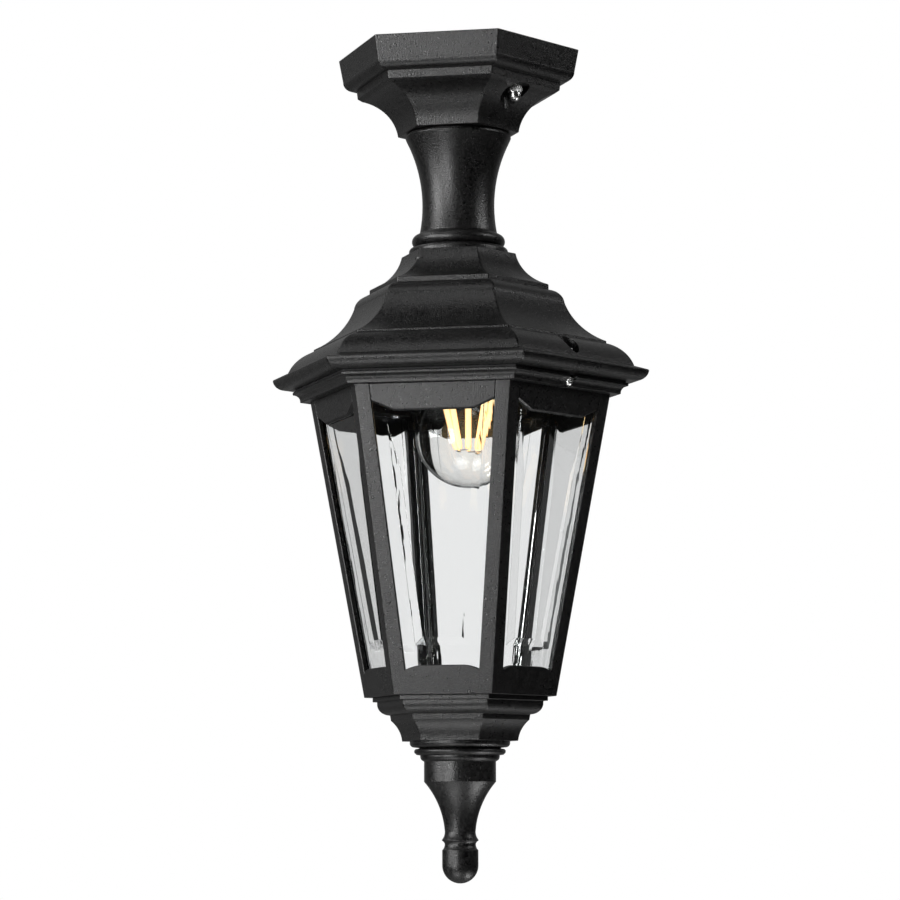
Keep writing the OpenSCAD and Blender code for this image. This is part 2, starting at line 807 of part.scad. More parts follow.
// Cast frame: rim, six posts with an inner rib each, bottom rails, floor, and a ledge with
// a lip that holds the panes' feet
module cage_frame() {
    color(black) difference() {
        union() {
            difference() {
                hex_solid(rim_outline);
                hex_slab(rim_inner, rim_z + 1, cage_z - 1);
            }
            difference() {
                cage_prism(0, cage_z + eps, foot_z);
                cage_prism(plate, cage_z + 1, foot_z + wall);
                for (side = sides) on_face(side) window_cut();
            }
            difference() {
                cage_prism(1, ledge_z, ledge_z - 3);
                cage_prism(ledge_depth, ledge_z + 1, ledge_z - 4);
            }
            difference() {
                cage_prism(clip_depth, lip_z, ledge_z - 1);
                cage_prism(ledge_depth, lip_z + 1, ledge_z - 2);
            }
            intersection() {
                difference() {
                    cage_prism(1, cage_z + eps, foot_z + 1);
                    cage_prism(clip_depth, cage_z + 1, foot_z);
                }
                for (corner = sides)
                    on_corner(corner)
                        translate([30, -rib_t / 2, foot_z]) cube([70, rib_t, cage_z - foot_z + eps]);
            }
            hinge_knuckle();
        }
        translate([-notch_w / 2, -100, cage_z - 1])
            cube([notch_w, 100 - notch_back, nut_seat_z - cage_z + 1]);
        translate([-screw_slot, -100, cage_z]) cube([2 * screw_slot, 100 - screw_reach, 10]);
        translate([0, -screw_reach, 0]) post(screw_slot, cage_z - 1, rim_z + 1);
        translate([0, hinge_y, hinge_z])
            rotate([0, 90, 0]) cylinder(r = pin_r + 0.06, h = 60, center = true);
        for (side = sides)
            on_side(side)
                for (s = [-1, 1])
                    translate([s * rail_screw_x, -rail_screw_y, 0]) post(1.3, cage_z - 1, cage_z + 5);
        for (corner = sides)
            for (z = clip_heights)
                on_corner(corner)
                    clip_flat_at(z) rotate([0, 0, 90]) cylinder(r = clip_screw_r + 0.03, h = 7.2);
        for (turn = base_screw_turns)
            rotate([0, 0, turn]) translate([base_screw_reach, 0, 0]) post(2.2, foot_z - 1, foot_z + wall + 1);
        post(4, foot_z - 1, foot_z + wall + 1);
    }
}

// Knuckle of the hinge on the cage
module hinge_knuckle() {
    translate([-knuckle_half, hinge_y, hinge_z])
        rotate([0, 90, 0]) cylinder(r = hinge_r, h = 2 * knuckle_half);
    translate([-knuckle_half, 90, hinge_z - 2.4]) cube([2 * knuckle_half, hinge_y - 90, 4.4]);
}

// One side of the cage without its lean, access side for side 0
module on_side(side) rotate([0, 0, 60 * side]) children();

rail_screw_x = 20;
rail_screw_y = 71.5;
rail_gap = 0.12;
flange_t = 3;

// Top rail of one side: the plate with its hanging tab, and the flange that takes its screws
module top_rail(side) {
    over = 5;
    head_half = face_half(over) - post_strip - rail_gap;
    edge = [for (p = rail_edge) [p[0] - sign(p[0]) * rail_gap * (abs(p[0]) > tab_half ? 1 : 0), p[1]]];
    color(black) difference() {
        union() {
            intersection() {
                on_face(side)
                    translate([0, 0, -plate])
                        linear_extrude(height = plate)
                            polygon(concat(edge, [[head_half, over], [-head_half, over]]));
                cage_prism(-1, cage_z, foot_z);
            }
            on_side(side)
                translate([-30, -cage_top + plate - 0.5, cage_z - flange_t]) cube([60, 13, flange_t]);
        }
        on_face(side) rail_chamfer();
        on_side(side)
            for (s = [-1, 1])
                translate([s * rail_screw_x, -rail_screw_y, 0]) post(1.7, cage_z - 5, cage_z + 1);
    }
}

// Chamfer along the lower edge of a top rail
module rail_chamfer() {
    for (i = [0:len(rail_edge) - 2]) {
        p = rail_edge[i];
        q = rail_edge[i + 1];
        translate([p[0], p[1], 0])
            rotate([0, 0, atan2(q[1] - p[1], q[0] - p[0])])
                rotate([45, 0, 0])
                    translate([-3, -1, -0.85]) cube([norm(q - p) + 6, 2, 1.7]);
    }
}

// Screws that hold the top rails up to the rim
module rail_screws() {
    color(steel) for (side = sides)
        on_side(side)
            for (s = [-1, 1])
                translate([s * rail_screw_x, -rail_screw_y, cage_z - flange_t]) {
                    cylinder(r = 1.27, h = 7.4);
                    pan_head(2.9, 1.9);
                }
}

pane_head_z = -223.6;
pane_foot_z = ledge_z - 0.45;
pane_margin = 2;
field_inset = 7;
field_foot_z = -375.5;
runout_foot_z = -269.5;
runout_head_z = -241.9;
bevel_slope = atan(field_rise / bevel_w);

// Right-hand point of the raised field's outline at height z, on the face
function field_point(z) = [face_half(up_face(z)) - post_strip - field_inset, up_face(z)];
// The point across the face from p
function across_face(p) = [-p[0], p[1]];

// Bevelled pane of one side
module glass(side) {
    head = up_face(pane_head_z);
    foot = up_face(pane_foot_z);
    head_half = face_half(head, pane_back) - pane_margin;
    foot_half = face_half(foot, pane_back) - pane_margin;
    color(clear) on_face(side) {
        translate([0, 0, -pane_back])
            linear_extrude(height = pane_t)
                polygon([[-foot_half, foot], [foot_half, foot], [head_half, head], [-head_half, head]]);
        pane_field();
    }
}

// Raised field of a pane, bevelled at its sides and foot. The side bevels run out to
// nothing under the top rail, and the field goes on behind the rail to the pane's head.
module pane_field() {
    foot = field_point(field_foot_z);
    head = field_point(pane_head_z - 0.3);
    start = field_point(runout_foot_z);
    along = field_point(runout_head_z) - start + [bevel_w, 0];
    runout_slope = atan(field_rise * norm(along) / (bevel_w * along[1]));
    difference() {
        translate([0, 0, pane_t - pane_back - eps])
            linear_extrude(height = field_rise + eps)
                polygon([across_face(foot), foot, head, across_face(head)]);
        over_slope(across_face(foot), foot, bevel_slope);
        for (s = [0, 1])
            mirror([s, 0, 0])
                intersection() {
                    over_slope(foot, head, bevel_slope);
                    over_slope(start, start + along, runout_slope);
                }
    }
}

// All that lies over the plane that rises to the left of the line from p to q
module over_slope(p, q, slope)
    translate([p[0], p[1], pane_t - pane_back])
        rotate([0, 0, atan2(q[1] - p[1], q[0] - p[0])])
            rotate([slope, 0, 0])
                translate([-200, -60, 0]) cube([400, 120, 30]);

clip_t = 1;
clip_w = 16;
clip_h = 5;
clip_heights = [-226.5];
clip_screw_r = 0.95;

// Bent clips, one over each post's rib at each height, that hold two panes each. Each has
// a flat in its middle for the screw's head.
module pane_clips() {
    color(steel) for (z = clip_heights)
        difference() {
            cage_prism(clip_depth + 0.05, z + clip_h / 2, z - clip_h / 2);
            difference() {
                cage_prism(clip_depth + 0.05 + clip_t, z + clip_h, z - clip_h);
                for (corner = sides)
                    on_corner(corner) clip_flat_at(z) translate([-clip_h, -3, 0]) cube([2 * clip_h, 6, 30]);
            }
            for (corner = sides)
                on_corner(corner) {
                    rotate([0, 0, 30])
                        translate([0, -gap_half(z), z - clip_h]) cube([100, 2 * gap_half(z), 2 * clip_h]);
                    clip_flat_at(z) translate([0, 0, -1]) cylinder(r = 1.2, h = 20);
                }
        }
}

// Half the stretch of pane that lies free between two clips
function gap_half(z) = face_half(up_face(z), clip_depth) - clip_w / 2;

// Places a child on the flat of a corner's clip, z out of the cage
module clip_flat_at(z)
    translate([(cage_half(z) - (clip_depth + 0.05 + clip_t) / cos(lean)) / cos(30) - 2.1, 0, z])
        rotate([0, 90, 0])
            children();

// Screws that hold the clips to the ribs
module clip_screws() {
    color(steel) for (corner = sides)
        for (z = clip_heights)
            on_corner(corner)
                clip_flat_at(z) {
                    cylinder(r = clip_screw_r, h = 7);
                    pan_head(2.2, 1.4);
                }
}

screw_washer_t = 0.6;
screw_head_z = screw_pocket_z + screw_washer_t;
screw_head_r = 2.75;
screw_head_h = 2.7;
screw_tip_z = -216.9;
nut_flats = 5.5;
nut_dome_z = -215.8;

// Cheese-headed screw that holds the cage shut: it goes down through the roof into the nut
module cage_screw() {
    color(steel) translate([0, -screw_reach, 0]) difference() {
        union() {
            post(screw_r, screw_tip_z, screw_head_z + 1);
            turned([
                [screw_head_r - 0.3, screw_head_z + screw_head_h],
                [screw_head_r, screw_head_z + screw_head_h - 0.4],
                [screw_head_r, screw_head_z]
            ]);
        }
        translate([-4, -0.4, screw_head_z + screw_head_h - 1.2]) cube([8, 0.8, 2]);
    }
}

// Washer under the screw's head
module screw_washer() {
    color(steel) translate([0, -screw_reach, 0]) washer(3.4, screw_r + 0.1, screw_pocket_z, screw_head_z);
}

// Cap nut fixed in the rim's notch. Its bore leaves the screw free as the cage swings down.
module cage_nut() {
    color(steel) translate([0, -screw_reach, 0]) difference() {
        union() {
            nut_body(nut_flats, nut_dome_z, nut_seat_z);
            turned(bow([nut_flats / 2 - 0.1, nut_dome_z + 0.1], [eps, cage_z], 2.78));
        }
        post(screw_r + 0.4, screw_tip_z - 0.3, nut_seat_z + 1);
    }
}

// Pin of the hinge, held by the roof's lugs
module hinge_pin() {
    span = knuckle_half + 0.3 + lug_w;
    color(steel) translate([0, hinge_y, hinge_z]) rotate([0, 90, 0]) {
        cylinder(r = pin_r, h = 2 * span + 1, center = true);
        translate([0, 0, span + 0.1]) cylinder(r = pin_r + 1, h = 1.4);
    }
}

// ---------------------------------------------------------------- base and finial

base_screw_turns = [30, 150, 270];
base_screw_reach = 37;
base_outline = concat(
    [[48, foot_z], [48, foot_z - 2.8], [45.6, foot_z - 2.8]],
    bow([45.5, foot_z - 3.8], [39.2, foot_z - 11], 6.9),
    [[38.4, foot_z - 11.1], [37.9, foot_z - 14.4]],
    bow([37.9, foot_z - 14.4], [31.8, base_z], -19.4)
);
base_hollow = [
    [44.6, foot_z + 1], [42.4, foot_z - 4.5], [36, foot_z - 12.6], [34.4, foot_z - 15.4],
    [29.2, foot_z - 23.2]
];
foot_ring_outline = concat(
    [[31, base_z + eps], [31, base_z - 1.3]],
    bow([31, base_z - 1.3], [28.4, base_z - 3.8], 2.6),
    [[25.4, base_z - 4.1], [25.2, finial_z]]
);
base_floor_z = foot_z - 23.2;
finial_stud_r = 3;

// Cast moulded cup under the cage, with the round foot ring
module base() {
    color(black) difference() {
        union() {
            difference() {
                hex_solid(base_outline);
                hex_solid(base_hollow);
            }
            turned(foot_ring_outline);
            for (turn = base_screw_turns)
                rotate([0, 0, turn])
                    intersection() {
                        translate([base_screw_reach, 0, 0]) post(4.4, foot_z - 12, foot_z);
                        rotate([0, 0, -turn]) hex_solid(base_outline);
                    }
        }
        post(finial_stud_r + 0.3, finial_z - 1, base_floor_z + 1);
        for (turn = base_screw_turns)
            rotate([0, 0, turn]) translate([base_screw_reach, 0, 0]) post(1.7, foot_z - 9, foot_z + 1);
    }
}

// Screws down through the cage's floor into the base
module base_screws() {
    color(steel) for (turn = base_screw_turns)
        rotate([0, 0, turn])
            translate([base_screw_reach, 0, foot_z + wall]) {
                translate([0, 0, -wall - 8]) cylinder(r = 1.67, h = wall + 8);
                mirror([0, 0, 1]) pan_head(3.8, 2.6);
            }
}

finial_outline = concat(
    [[25.2, finial_z], [27.4, finial_z - 0.4]],
    bow([27.8, finial_z - 0.7], [27.8, finial_z - 3], 1.6),
    [[26.8, finial_z - 3.9], [24.5, finial_z - 4.2]],
    bow([24.5, finial_z - 4.2], [23.6, finial_z - 7.2], 3.4),
    [[22.2, finial_z - 8], [22.2, -456.4]],
    bow([22.2, -456.4], [9.5, -486.8], -52.4),
    bow([9.5, -486.8], [11.35, -492], -7.5),
    bow([11.3, -492.4], [9.6, -494.2], -4),
    [[9.6, -495.3]],
    bow([9.6, -495.3], [11.15, -498.3], -5),
    [[11.15, -507.45]],
    bow([11.15, -507.45], [eps, tip_z], 11.15)
);

// Turned finial with a blind hole for its stud
module finial() {
    color(black) difference() {
        turned(finial_outline);
        post(finial_stud_r + 0.02, finial_z - 24, finial_z + 1);
    }
}

// Stud between finial and base
module finial_stud() {
    color(steel) post(finial_stud_r, finial_z - 23.5, base_floor_z + 9);
}

// Flanged nut on the stud, in the base
module finial_nut() {
    color(steel) difference() {
        union() {
            nut_body(10, base_floor_z + 1, base_floor_z + 6);
            post(7, base_floor_z, base_floor_z + 1.4);
        }
        post(finial_stud_r + 0.03, base_floor_z - 1, base_floor_z + 7);
    }
}

// ---------------------------------------------------------------- what is drawn

ceiling_bracket();
canopy_studs();
stud_locknuts();
canopy();
ceiling_gasket();
canopy_washers();
canopy_nuts();
terminal_block();
terminal_sleeves();
terminal_screws();
block_screws();
earth_screw();
earth_tag();
neck();
stem_tube();
stem_nuts();
stem_washers();
roof();
roof_gasket();
holder_plate();
holder_plate_screws();
lampholder();
lampholder_screws();
lampholder_sleeve();
lampholder_contact();
live_lead();
neutral_lead();
earth_lead();
lamp_glass();
lamp_cap();
lamp_insulator();
lamp_contact();
lamp_stem();
lamp_filaments();
lamp_links();
hinge_pin();
cage_frame();
top_rail(0);  // top_rail_1
top_rail(1);  // top_rail_2
top_rail(2);  // top_rail_3
top_rail(3);  // top_rail_4
top_rail(4);  // top_rail_5
top_rail(5);  // top_rail_6
rail_screws();
glass(0);  // glass_1
glass(1);  // glass_2
glass(2);  // glass_3
glass(3);  // glass_4
glass(4);  // glass_5
glass(5);  // glass_6
pane_clips();
clip_screws();
cage_nut();
cage_screw();
screw_washer();
base();
base_screws();
finial();
finial_stud();
finial_nut();
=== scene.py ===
"""Porch ceiling lantern: its dressed pieces, the studio and the camera.

Sizes are written in millimetres, as a maker would mark them up, and become metres when a
mesh is made. The lantern hangs in -Z from the middle of the ceiling face. The access side,
with the canopy nut and the cage screw, is -Y, and the hinge is at +Y.
"""

import logging
import math
from dataclasses import dataclass, field
from enum import Enum
from typing import Iterable, Optional, Sequence, Union

import bmesh
import bpy
from mathutils import Matrix, Vector


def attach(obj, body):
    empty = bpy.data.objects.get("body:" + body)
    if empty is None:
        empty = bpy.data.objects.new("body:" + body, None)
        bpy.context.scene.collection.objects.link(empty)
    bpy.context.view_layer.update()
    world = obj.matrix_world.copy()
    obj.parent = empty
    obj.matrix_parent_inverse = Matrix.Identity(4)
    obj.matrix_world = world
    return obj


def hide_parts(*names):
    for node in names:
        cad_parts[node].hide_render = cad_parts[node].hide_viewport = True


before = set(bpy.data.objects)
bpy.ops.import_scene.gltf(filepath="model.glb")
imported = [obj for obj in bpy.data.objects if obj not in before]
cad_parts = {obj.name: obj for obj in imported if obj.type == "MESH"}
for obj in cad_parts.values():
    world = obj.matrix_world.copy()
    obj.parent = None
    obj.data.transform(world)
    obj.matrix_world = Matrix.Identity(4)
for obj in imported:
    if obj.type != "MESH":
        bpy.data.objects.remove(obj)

LOG = logging.getLogger("lantern")
MM = 0.001
MIX_FIRST, MIX_SECOND, MIX_RESULT = 6, 7, 2  # a Mix node's colour sockets
EDGE_WEIGHT = "bevel_weight_edge"
ON_AXIS = 1e-4  # metres from the axis within which an edge isn't a mitre
SAME_TURN = 1e-3  # radians between the ends of an edge that runs up a mitre
MITRE_ANGLE = math.radians(14)  # least angle of a mitre that is rounded
CREASE_ANGLE = math.radians(28)  # least angle of a casting's edge that is rounded
FINE_ROUND = 96  # sides of a bore that shows
CLOSE = 0.004  # outline points nearer than this, in millimetres, are one point
STEM_BORE = 5.3  # radius of the hole for the stem in millimetres
COS30 = math.cos(math.radians(30))
TAN30 = math.tan(math.radians(30))

Piece = bpy.types.Object
Point = tuple[float, float]
Outline = list[Point]
Colour = tuple[float, float, float]


class Body(Enum):
    """The bodies of the frame that pieces ride on."""

    HOOD = "hood"
    CAGE = "cage"
    LAMP = "lamp"
    SCREW = "cage_screw"


class Sides(Enum):
    """How many sides a spun moulding has."""

    HEXAGON = 6
    ROUND = 128
    SMALL_ROUND = 48
    ROD = 20


# ---------------------------------------------------------------- node trees


@dataclass(frozen=True)
class Wire:
    """One output of a node, with arithmetic that adds Math nodes.

    Attributes:
        graph: The tree the output belongs to.
        socket: The output itself.
    """

    graph: "Graph"
    socket: bpy.types.NodeSocket

    def __add__(self, other: "Value") -> "Wire":
        """Sum."""
        return self.graph.math("ADD", self, other)

    def __radd__(self, other: "Value") -> "Wire":
        """Sum, with the number first."""
        return self.graph.math("ADD", other, self)

    def __sub__(self, other: "Value") -> "Wire":
        """Difference."""
        return self.graph.math("SUBTRACT", self, other)

    def __rsub__(self, other: "Value") -> "Wire":
        """Difference, with the number first."""
        return self.graph.math("SUBTRACT", other, self)

    def __mul__(self, other: "Value") -> "Wire":
        """Product."""
        return self.graph.math("MULTIPLY", self, other)

    def __rmul__(self, other: "Value") -> "Wire":
        """Product, with the number first."""
        return self.graph.math("MULTIPLY", other, self)

    def __truediv__(self, other: "Value") -> "Wire":
        """Quotient."""
        return self.graph.math("DIVIDE", self, other)


Value = Union[Wire, float, int]


class Graph:
    """A node tree that is written as expressions.

    Attributes:
        tree: The Blender tree.
    """

    def __init__(self, tree: bpy.types.NodeTree) -> None:
        """Takes over a tree and empties it.

        Args:
            tree: The tree to write.
        """
        self.tree = tree
        self.tree.nodes.clear()

    def node(
        self, kind: str, settings: Optional[dict] = None, values: Optional[dict] = None
    ) -> bpy.types.Node:
        """Adds one node.

        Args:
            kind: The node's type.
            settings: Properties set before the sockets.
            values: Numbers, colours or wires for the inputs, by name or index.

        Returns:
            The node.
        """
        made = self.tree.nodes.new(kind)
        for name, value in (settings or {}).items():
            setattr(made, name, value)
        for name, value in (values or {}).items():
            socket = made.inputs[name]
            if isinstance(value, Wire):
                self.tree.links.new(value.socket, socket)
            else:
                if socket.type == "RGBA" and len(value) == 3:
                    value = (*value, 1.0)
                socket.default_value = value
        return made

    def wire(self, kind: str, settings: Optional[dict] = None, values: Optional[dict] = None,
             output: Union[str, int] = 0) -> Wire:
        """Adds one node and returns one of its outputs.

        Args:
            kind: The node's type.
            settings: As in node.
            values: As in node.
            output: Name or index of the output.

        Returns:
            The output.
        """
        return Wire(self, self.node(kind, settings, values).outputs[output])

    def math(self, operation: str, *values: Value) -> Wire:
        """Adds a Math node.

        Args:
            operation: The sum to do.
            values: Its operands.

        Returns:
            The result.
        """
        return self.wire("ShaderNodeMath", {"operation": operation}, dict(enumerate(values)))

    def mix(self, amount: Value, first: Colour, second: Colour) -> Wire:
        """Blends two colours.

        Args:
            amount: How much of the second shows.
            first: Colour at 0.
            second: Colour at 1.

        Returns:
            The colour.
        """
        values = {0: amount, MIX_FIRST: first, MIX_SECOND: second}
        return self.wire("ShaderNodeMix", {"data_type": "RGBA"}, values, MIX_RESULT)

    def rays(self, *kinds: str) -> dict[str, Wire]:
        """Tells which kind of ray looks.

        Args:
            kinds: Kinds of ray, as a Light Path node names them.

        Returns:
            An output for each, 1 where the ray is of that kind.
        """
        path = self.node("ShaderNodeLightPath")
        return {kind: Wire(self, path.outputs[f"Is {kind} Ray"]) for kind in kinds}

    def principled(self, values: dict) -> Wire:
        """Adds a Principled shader with these inputs."""
        return self.wire("ShaderNodeBsdfPrincipled", {}, values)

    def spread(self, value: Wire, low: float, high: float, to_low: float = 0.0, to_high: float = 1.0) -> Wire:
        """Stretches a value from one range to another, held at both ends.

        Args:
            value: The value.
            low: Start of its range.
            high: End of its range.
            to_low: What the start becomes.
            to_high: What the end becomes.

        Returns:
            The stretched value.
        """
        values = {"Value": value, "From Min": low, "From Max": high, "To Min": to_low, "To Max": to_high}
        return self.wire("ShaderNodeMapRange", {"clamp": True}, values)


# ---------------------------------------------------------------- finishes


class Finish:
    """A procedural finish, made into a material once."""

    name = "finish"

    def material(self) -> bpy.types.Material:
        """Makes the material, or returns it if it is made.

        Returns:
            The material.
        """
        made = bpy.data.materials.get("finish_" + self.name)
        if made is None:
            made = bpy.data.materials.new("finish_" + self.name)
            made.use_nodes = True
            graph = Graph(made.node_tree)
            shader = self.shader(graph)
            graph.node("ShaderNodeOutputMaterial", {}, {"Surface": shader})
        return made

    def shader(self, graph: Graph) -> Wire:
        """Writes the finish's nodes.

        Args:
            graph: The material's tree.

        Returns:
            The shader.
        """
        raise NotImplementedError

    @staticmethod
    def place(graph: Graph, stretch: Colour = (1.0, 1.0, 1.0)) -> Wire:
        """Object coordinates, stretched along the axes.

        Args:
            graph: The material's tree.
            stretch: Scale along X, Y and Z.

        Returns:
            The coordinates.
        """
        coordinates = graph.wire("ShaderNodeTexCoord", output="Object")
        if stretch == (1.0, 1.0, 1.0):
            return coordinates
        return graph.wire("ShaderNodeMapping", {}, {"Vector": coordinates, "Scale": stretch})

    @staticmethod
    def noise(graph: Graph, where: Wire, scale: float, detail: float = 2.0, roughness: float = 0.5) -> Wire:
        """Cloudy noise.

        Args:
            graph: The material's tree.
            where: Its coordinates.
            scale: Clouds to the metre.
            detail: Octaves.
            roughness: Weight of the finer octaves.

        Returns:
            The noise, from 0 to 1.
        """
        values = {"Vector": where, "Scale": scale, "Detail": detail, "Roughness": roughness}
        return graph.wire("ShaderNodeTexNoise", {}, values)

    @staticmethod
    def grains(graph: Graph, where: Wire, scale: float) -> tuple[Wire, Wire]:
        """Packed grains, each a small dome with a tone of its own.

        Args:
            graph: The material's tree.
            where: Its coordinates.
            scale: Grains to the metre.

        Returns:
            The domes' height and the grains' tone, both from 0 to 1.
        """
        made = graph.node("ShaderNodeTexVoronoi", {}, {"Vector": where, "Scale": scale})
        domes = 1.0 - Wire(graph, made.outputs["Distance"])
        tone = graph.wire("ShaderNodeSeparateColor", {}, {"Color": Wire(graph, made.outputs["Color"])})
        return domes, tone

    @staticmethod
    def bump(graph: Graph, height: Wire, depth: float) -> Wire:
        """Relief for a shader's Normal.

        Args:
            graph: The material's tree.
            height: The relief, from 0 to 1.
            depth: Its depth in millimetres.

        Returns:
            The normal.
        """
        values = {"Height": height, "Distance": depth * MM, "Strength": 1.0}
        return graph.wire("ShaderNodeBump", {}, values)


@dataclass(frozen=True)
class PowderCoat(Finish):
    """Satin black powder coat on a casting: fine grains, a soft swell and a faint mottle.

    Attributes:
        name: Its name.
        dark: Colour of the darkest grains.
        light: Colour of the lightest.
        grain: Grains to the metre.
        grain_depth: Depth of the grain in millimetres.
        sheen: Roughness that the film's own varies about.
    """

    name: str = "satin_coat"
    dark: Colour = (0.0010, 0.0010, 0.0011)
    light: Colour = (0.0130, 0.0128, 0.0125)
    grain: float = 1250.0
    grain_depth: float = 0.20
    sheen: float = 0.34

    def shader(self, graph: Graph) -> Wire:
        """Writes the coat.

        Args:
            graph: The material's tree.

        Returns:
            The shader.
        """
        where = self.place(graph)
        domes, speckle = self.grains(graph, where, self.grain)
        swell = self.noise(graph, where, 210.0, 1.0)
        cloud = self.noise(graph, where, 26.0, 3.0, 0.6)
        relief = domes * 0.5 + speckle * 0.35 + swell * 0.15
        tone = graph.spread(speckle * 0.85 + cloud * 0.15, 0.45, 0.95)
        values = {
            "Base Color": graph.mix(tone, self.dark, self.light),
            "Roughness": self.sheen - 0.08 + graph.spread(cloud, 0.3, 0.7) * 0.02 + speckle * 0.14,
            "Normal": self.bump(graph, relief, self.grain_depth),
            "IOR": 1.5,
        }
        return graph.principled(values)


@dataclass(frozen=True)
class Metal(Finish):
    """Bare or plated metal with fine scratches and a mottled film.

    Attributes:
        name: Its name.
        bright: Colour where it is clean.
        dull: Colour where it is dulled.
        rough: Roughness where it is clean.
        mottle: How much rougher it is where it is dulled.
        scratch_depth: Depth of its scratches in millimetres.
    """

    name: str = "stainless"
    bright: Colour = (0.74, 0.74, 0.73)
    dull: Colour = (0.52, 0.52, 0.52)
    rough: float = 0.16
    mottle: float = 0.14
    scratch_depth: float = 0.004

    def shader(self, graph: Graph) -> Wire:
        """Writes the metal.

        Args:
            graph: The material's tree.

        Returns:
            The shader.
        """
        where = self.place(graph)
        film = graph.spread(self.noise(graph, where, 190.0, 4.0, 0.65), 0.35, 0.7)
        lines = self.noise(graph, self.place(graph, (1.0, 1.0, 0.06)), 5200.0, 2.0)
        values = {
            "Base Color": graph.mix(film, self.bright, self.dull),
            "Metallic": 1.0,
            "Roughness": self.rough + film * self.mottle + lines * 0.05,
            "Normal": self.bump(graph, lines, self.scratch_depth),
        }
        return graph.principled(values)


@dataclass(frozen=True)
class Moulded(Finish):
    """Plastic, rubber or glaze with a cloudy tone and a light skin texture.

    Attributes:
        name: Its name.
        pale: Lighter tone.
        deep: Deeper tone.
        rough: Roughness.
        skin: Bumps to the metre.
        skin_depth: Depth of the skin in millimetres.
        coat: Weight of a clear coat over it.
    """

    name: str = "rubber"
    pale: Colour = (0.030, 0.030, 0.031)
    deep: Colour = (0.016, 0.016, 0.017)
    rough: float = 0.8
    skin: float = 900.0
    skin_depth: float = 0.08
    coat: float = 0.0

    def shader(self, graph: Graph) -> Wire:
        """Writes the moulding's skin.

        Args:
            graph: The material's tree.

        Returns:
            The shader.
        """
        where = self.place(graph)
        cloud = graph.spread(self.noise(graph, where, 70.0, 3.0), 0.35, 0.65)
        skin = self.noise(graph, where, self.skin, 2.0)
        values = {
            "Base Color": graph.mix(cloud, self.pale, self.deep),
            "Roughness": self.rough + (skin - 0.5) * 0.1,
            "Coat Weight": self.coat,
            "Normal": self.bump(graph, skin, self.skin_depth),
        }
        return graph.principled(values)


@dataclass(frozen=True)
class StripedWire(Finish):
    """Green insulation with yellow stripes along it.

    Attributes:
        name: Its name.
        green: The ground.
        yellow: The stripes.
    """

    name: str = "striped_wire"
    green: Colour = (0.03, 0.22, 0.03)
    yellow: Colour = (0.70, 0.52, 0.03)

    def shader(self, graph: Graph) -> Wire:
        """Writes the striped insulation.

        Args:
            graph: The material's tree.

        Returns:
            The shader.
        """
        wave = graph.wire(
            "ShaderNodeTexWave", {"bands_direction": "DIAGONAL"},
            {"Vector": self.place(graph, (1.0, 1.0, 0.35)), "Scale": 260.0}, "Fac",
        )
        skin = self.noise(graph, self.place(graph), 900.0)
        values = {
            "Base Color": graph.mix(graph.spread(wave, 0.55, 0.65), self.green, self.yellow),
            "Roughness": 0.3 + skin * 0.1,
            "Normal": self.bump(graph, skin, 0.01),
        }
        return graph.principled(values)


@dataclass(frozen=True)
class ClearGlass(Finish):
    """Clear glass whose surface has a slight drawn waviness.

    Lamps shine through it as through open air, and so do the rays that other surfaces scatter or
    mirror. Only what the camera sees, directly or through more glass, is bent.

    Attributes:
        name: Its name.
        tint: Colour of the glass.
        index: Refractive index.
        wave: Waves to the metre across the grain of the draw.
        wave_depth: Depth of the waves in millimetres.
        along: How far each wave is drawn out along Z.
    """

    name: str = "pane_glass"
    tint: Colour = (0.968, 0.974, 0.974)
    index: float = 1.5
    wave: float = 55.0
    wave_depth: float = 0.05
    along: float = 0.05

    def shader(self, graph: Graph) -> Wire:
        """Writes the glass.

        Args:
            graph: The material's tree.

        Returns:
            The shader.
        """
        drawn = self.noise(graph, self.place(graph, (1.0, 1.0, self.along)), self.wave, 2.0, 0.4)
        values = {
            "Base Color": self.tint,
            "Roughness": 0.0,
            "IOR": self.index,
            "Specular IOR Level": 0.3,
            "Transmission Weight": 1.0,
            "Normal": self.bump(graph, drawn, self.wave_depth),
        }
        glass = graph.principled(values)
        open_air = graph.wire("ShaderNodeBsdfTransparent", {}, {"Color": (0.93, 0.94, 0.94)})
        ray = graph.rays("Glossy", "Transmission", "Diffuse", "Shadow")
        thrown = graph.math("MAXIMUM", ray["Glossy"] - ray["Transmission"], ray["Diffuse"])
        light = graph.math("MAXIMUM", ray["Shadow"], thrown)
        return graph.wire("ShaderNodeMixShader", {}, {0: light, 1: glass, 2: open_air})


@dataclass(frozen=True)
class Glow(Finish):
    """Phosphor that glows, whiter towards the middle of each rod.

    Attributes:
        name: Its name.
        core: Colour seen face on.
        edge: Colour seen edge on.
        strength: Strength of the light.
    """

    name: str = "glow"
    core: Colour = (1.0, 0.84, 0.50)
    edge: Colour = (1.0, 0.38, 0.05)
    strength: float = 1.35

    def shader(self, graph: Graph) -> Wire:
        """Writes the glow.

        Args:
            graph: The material's tree.

        Returns:
            The shader.
        """
        facing = graph.wire("ShaderNodeLayerWeight", {}, {"Blend": 0.5}, "Facing")
        beads = self.noise(graph, self.place(graph), 700.0, 1.0)
        ends = graph.spread(facing + (beads - 0.5) * 0.3, 0.25, 0.85)
        values = {
            "Base Color": (0.9, 0.6, 0.2),
            "Roughness": 0.6,
            "Emission Color": graph.mix(ends, self.core, self.edge),
            "Emission Strength": self.strength,
        }
        return graph.principled(values)


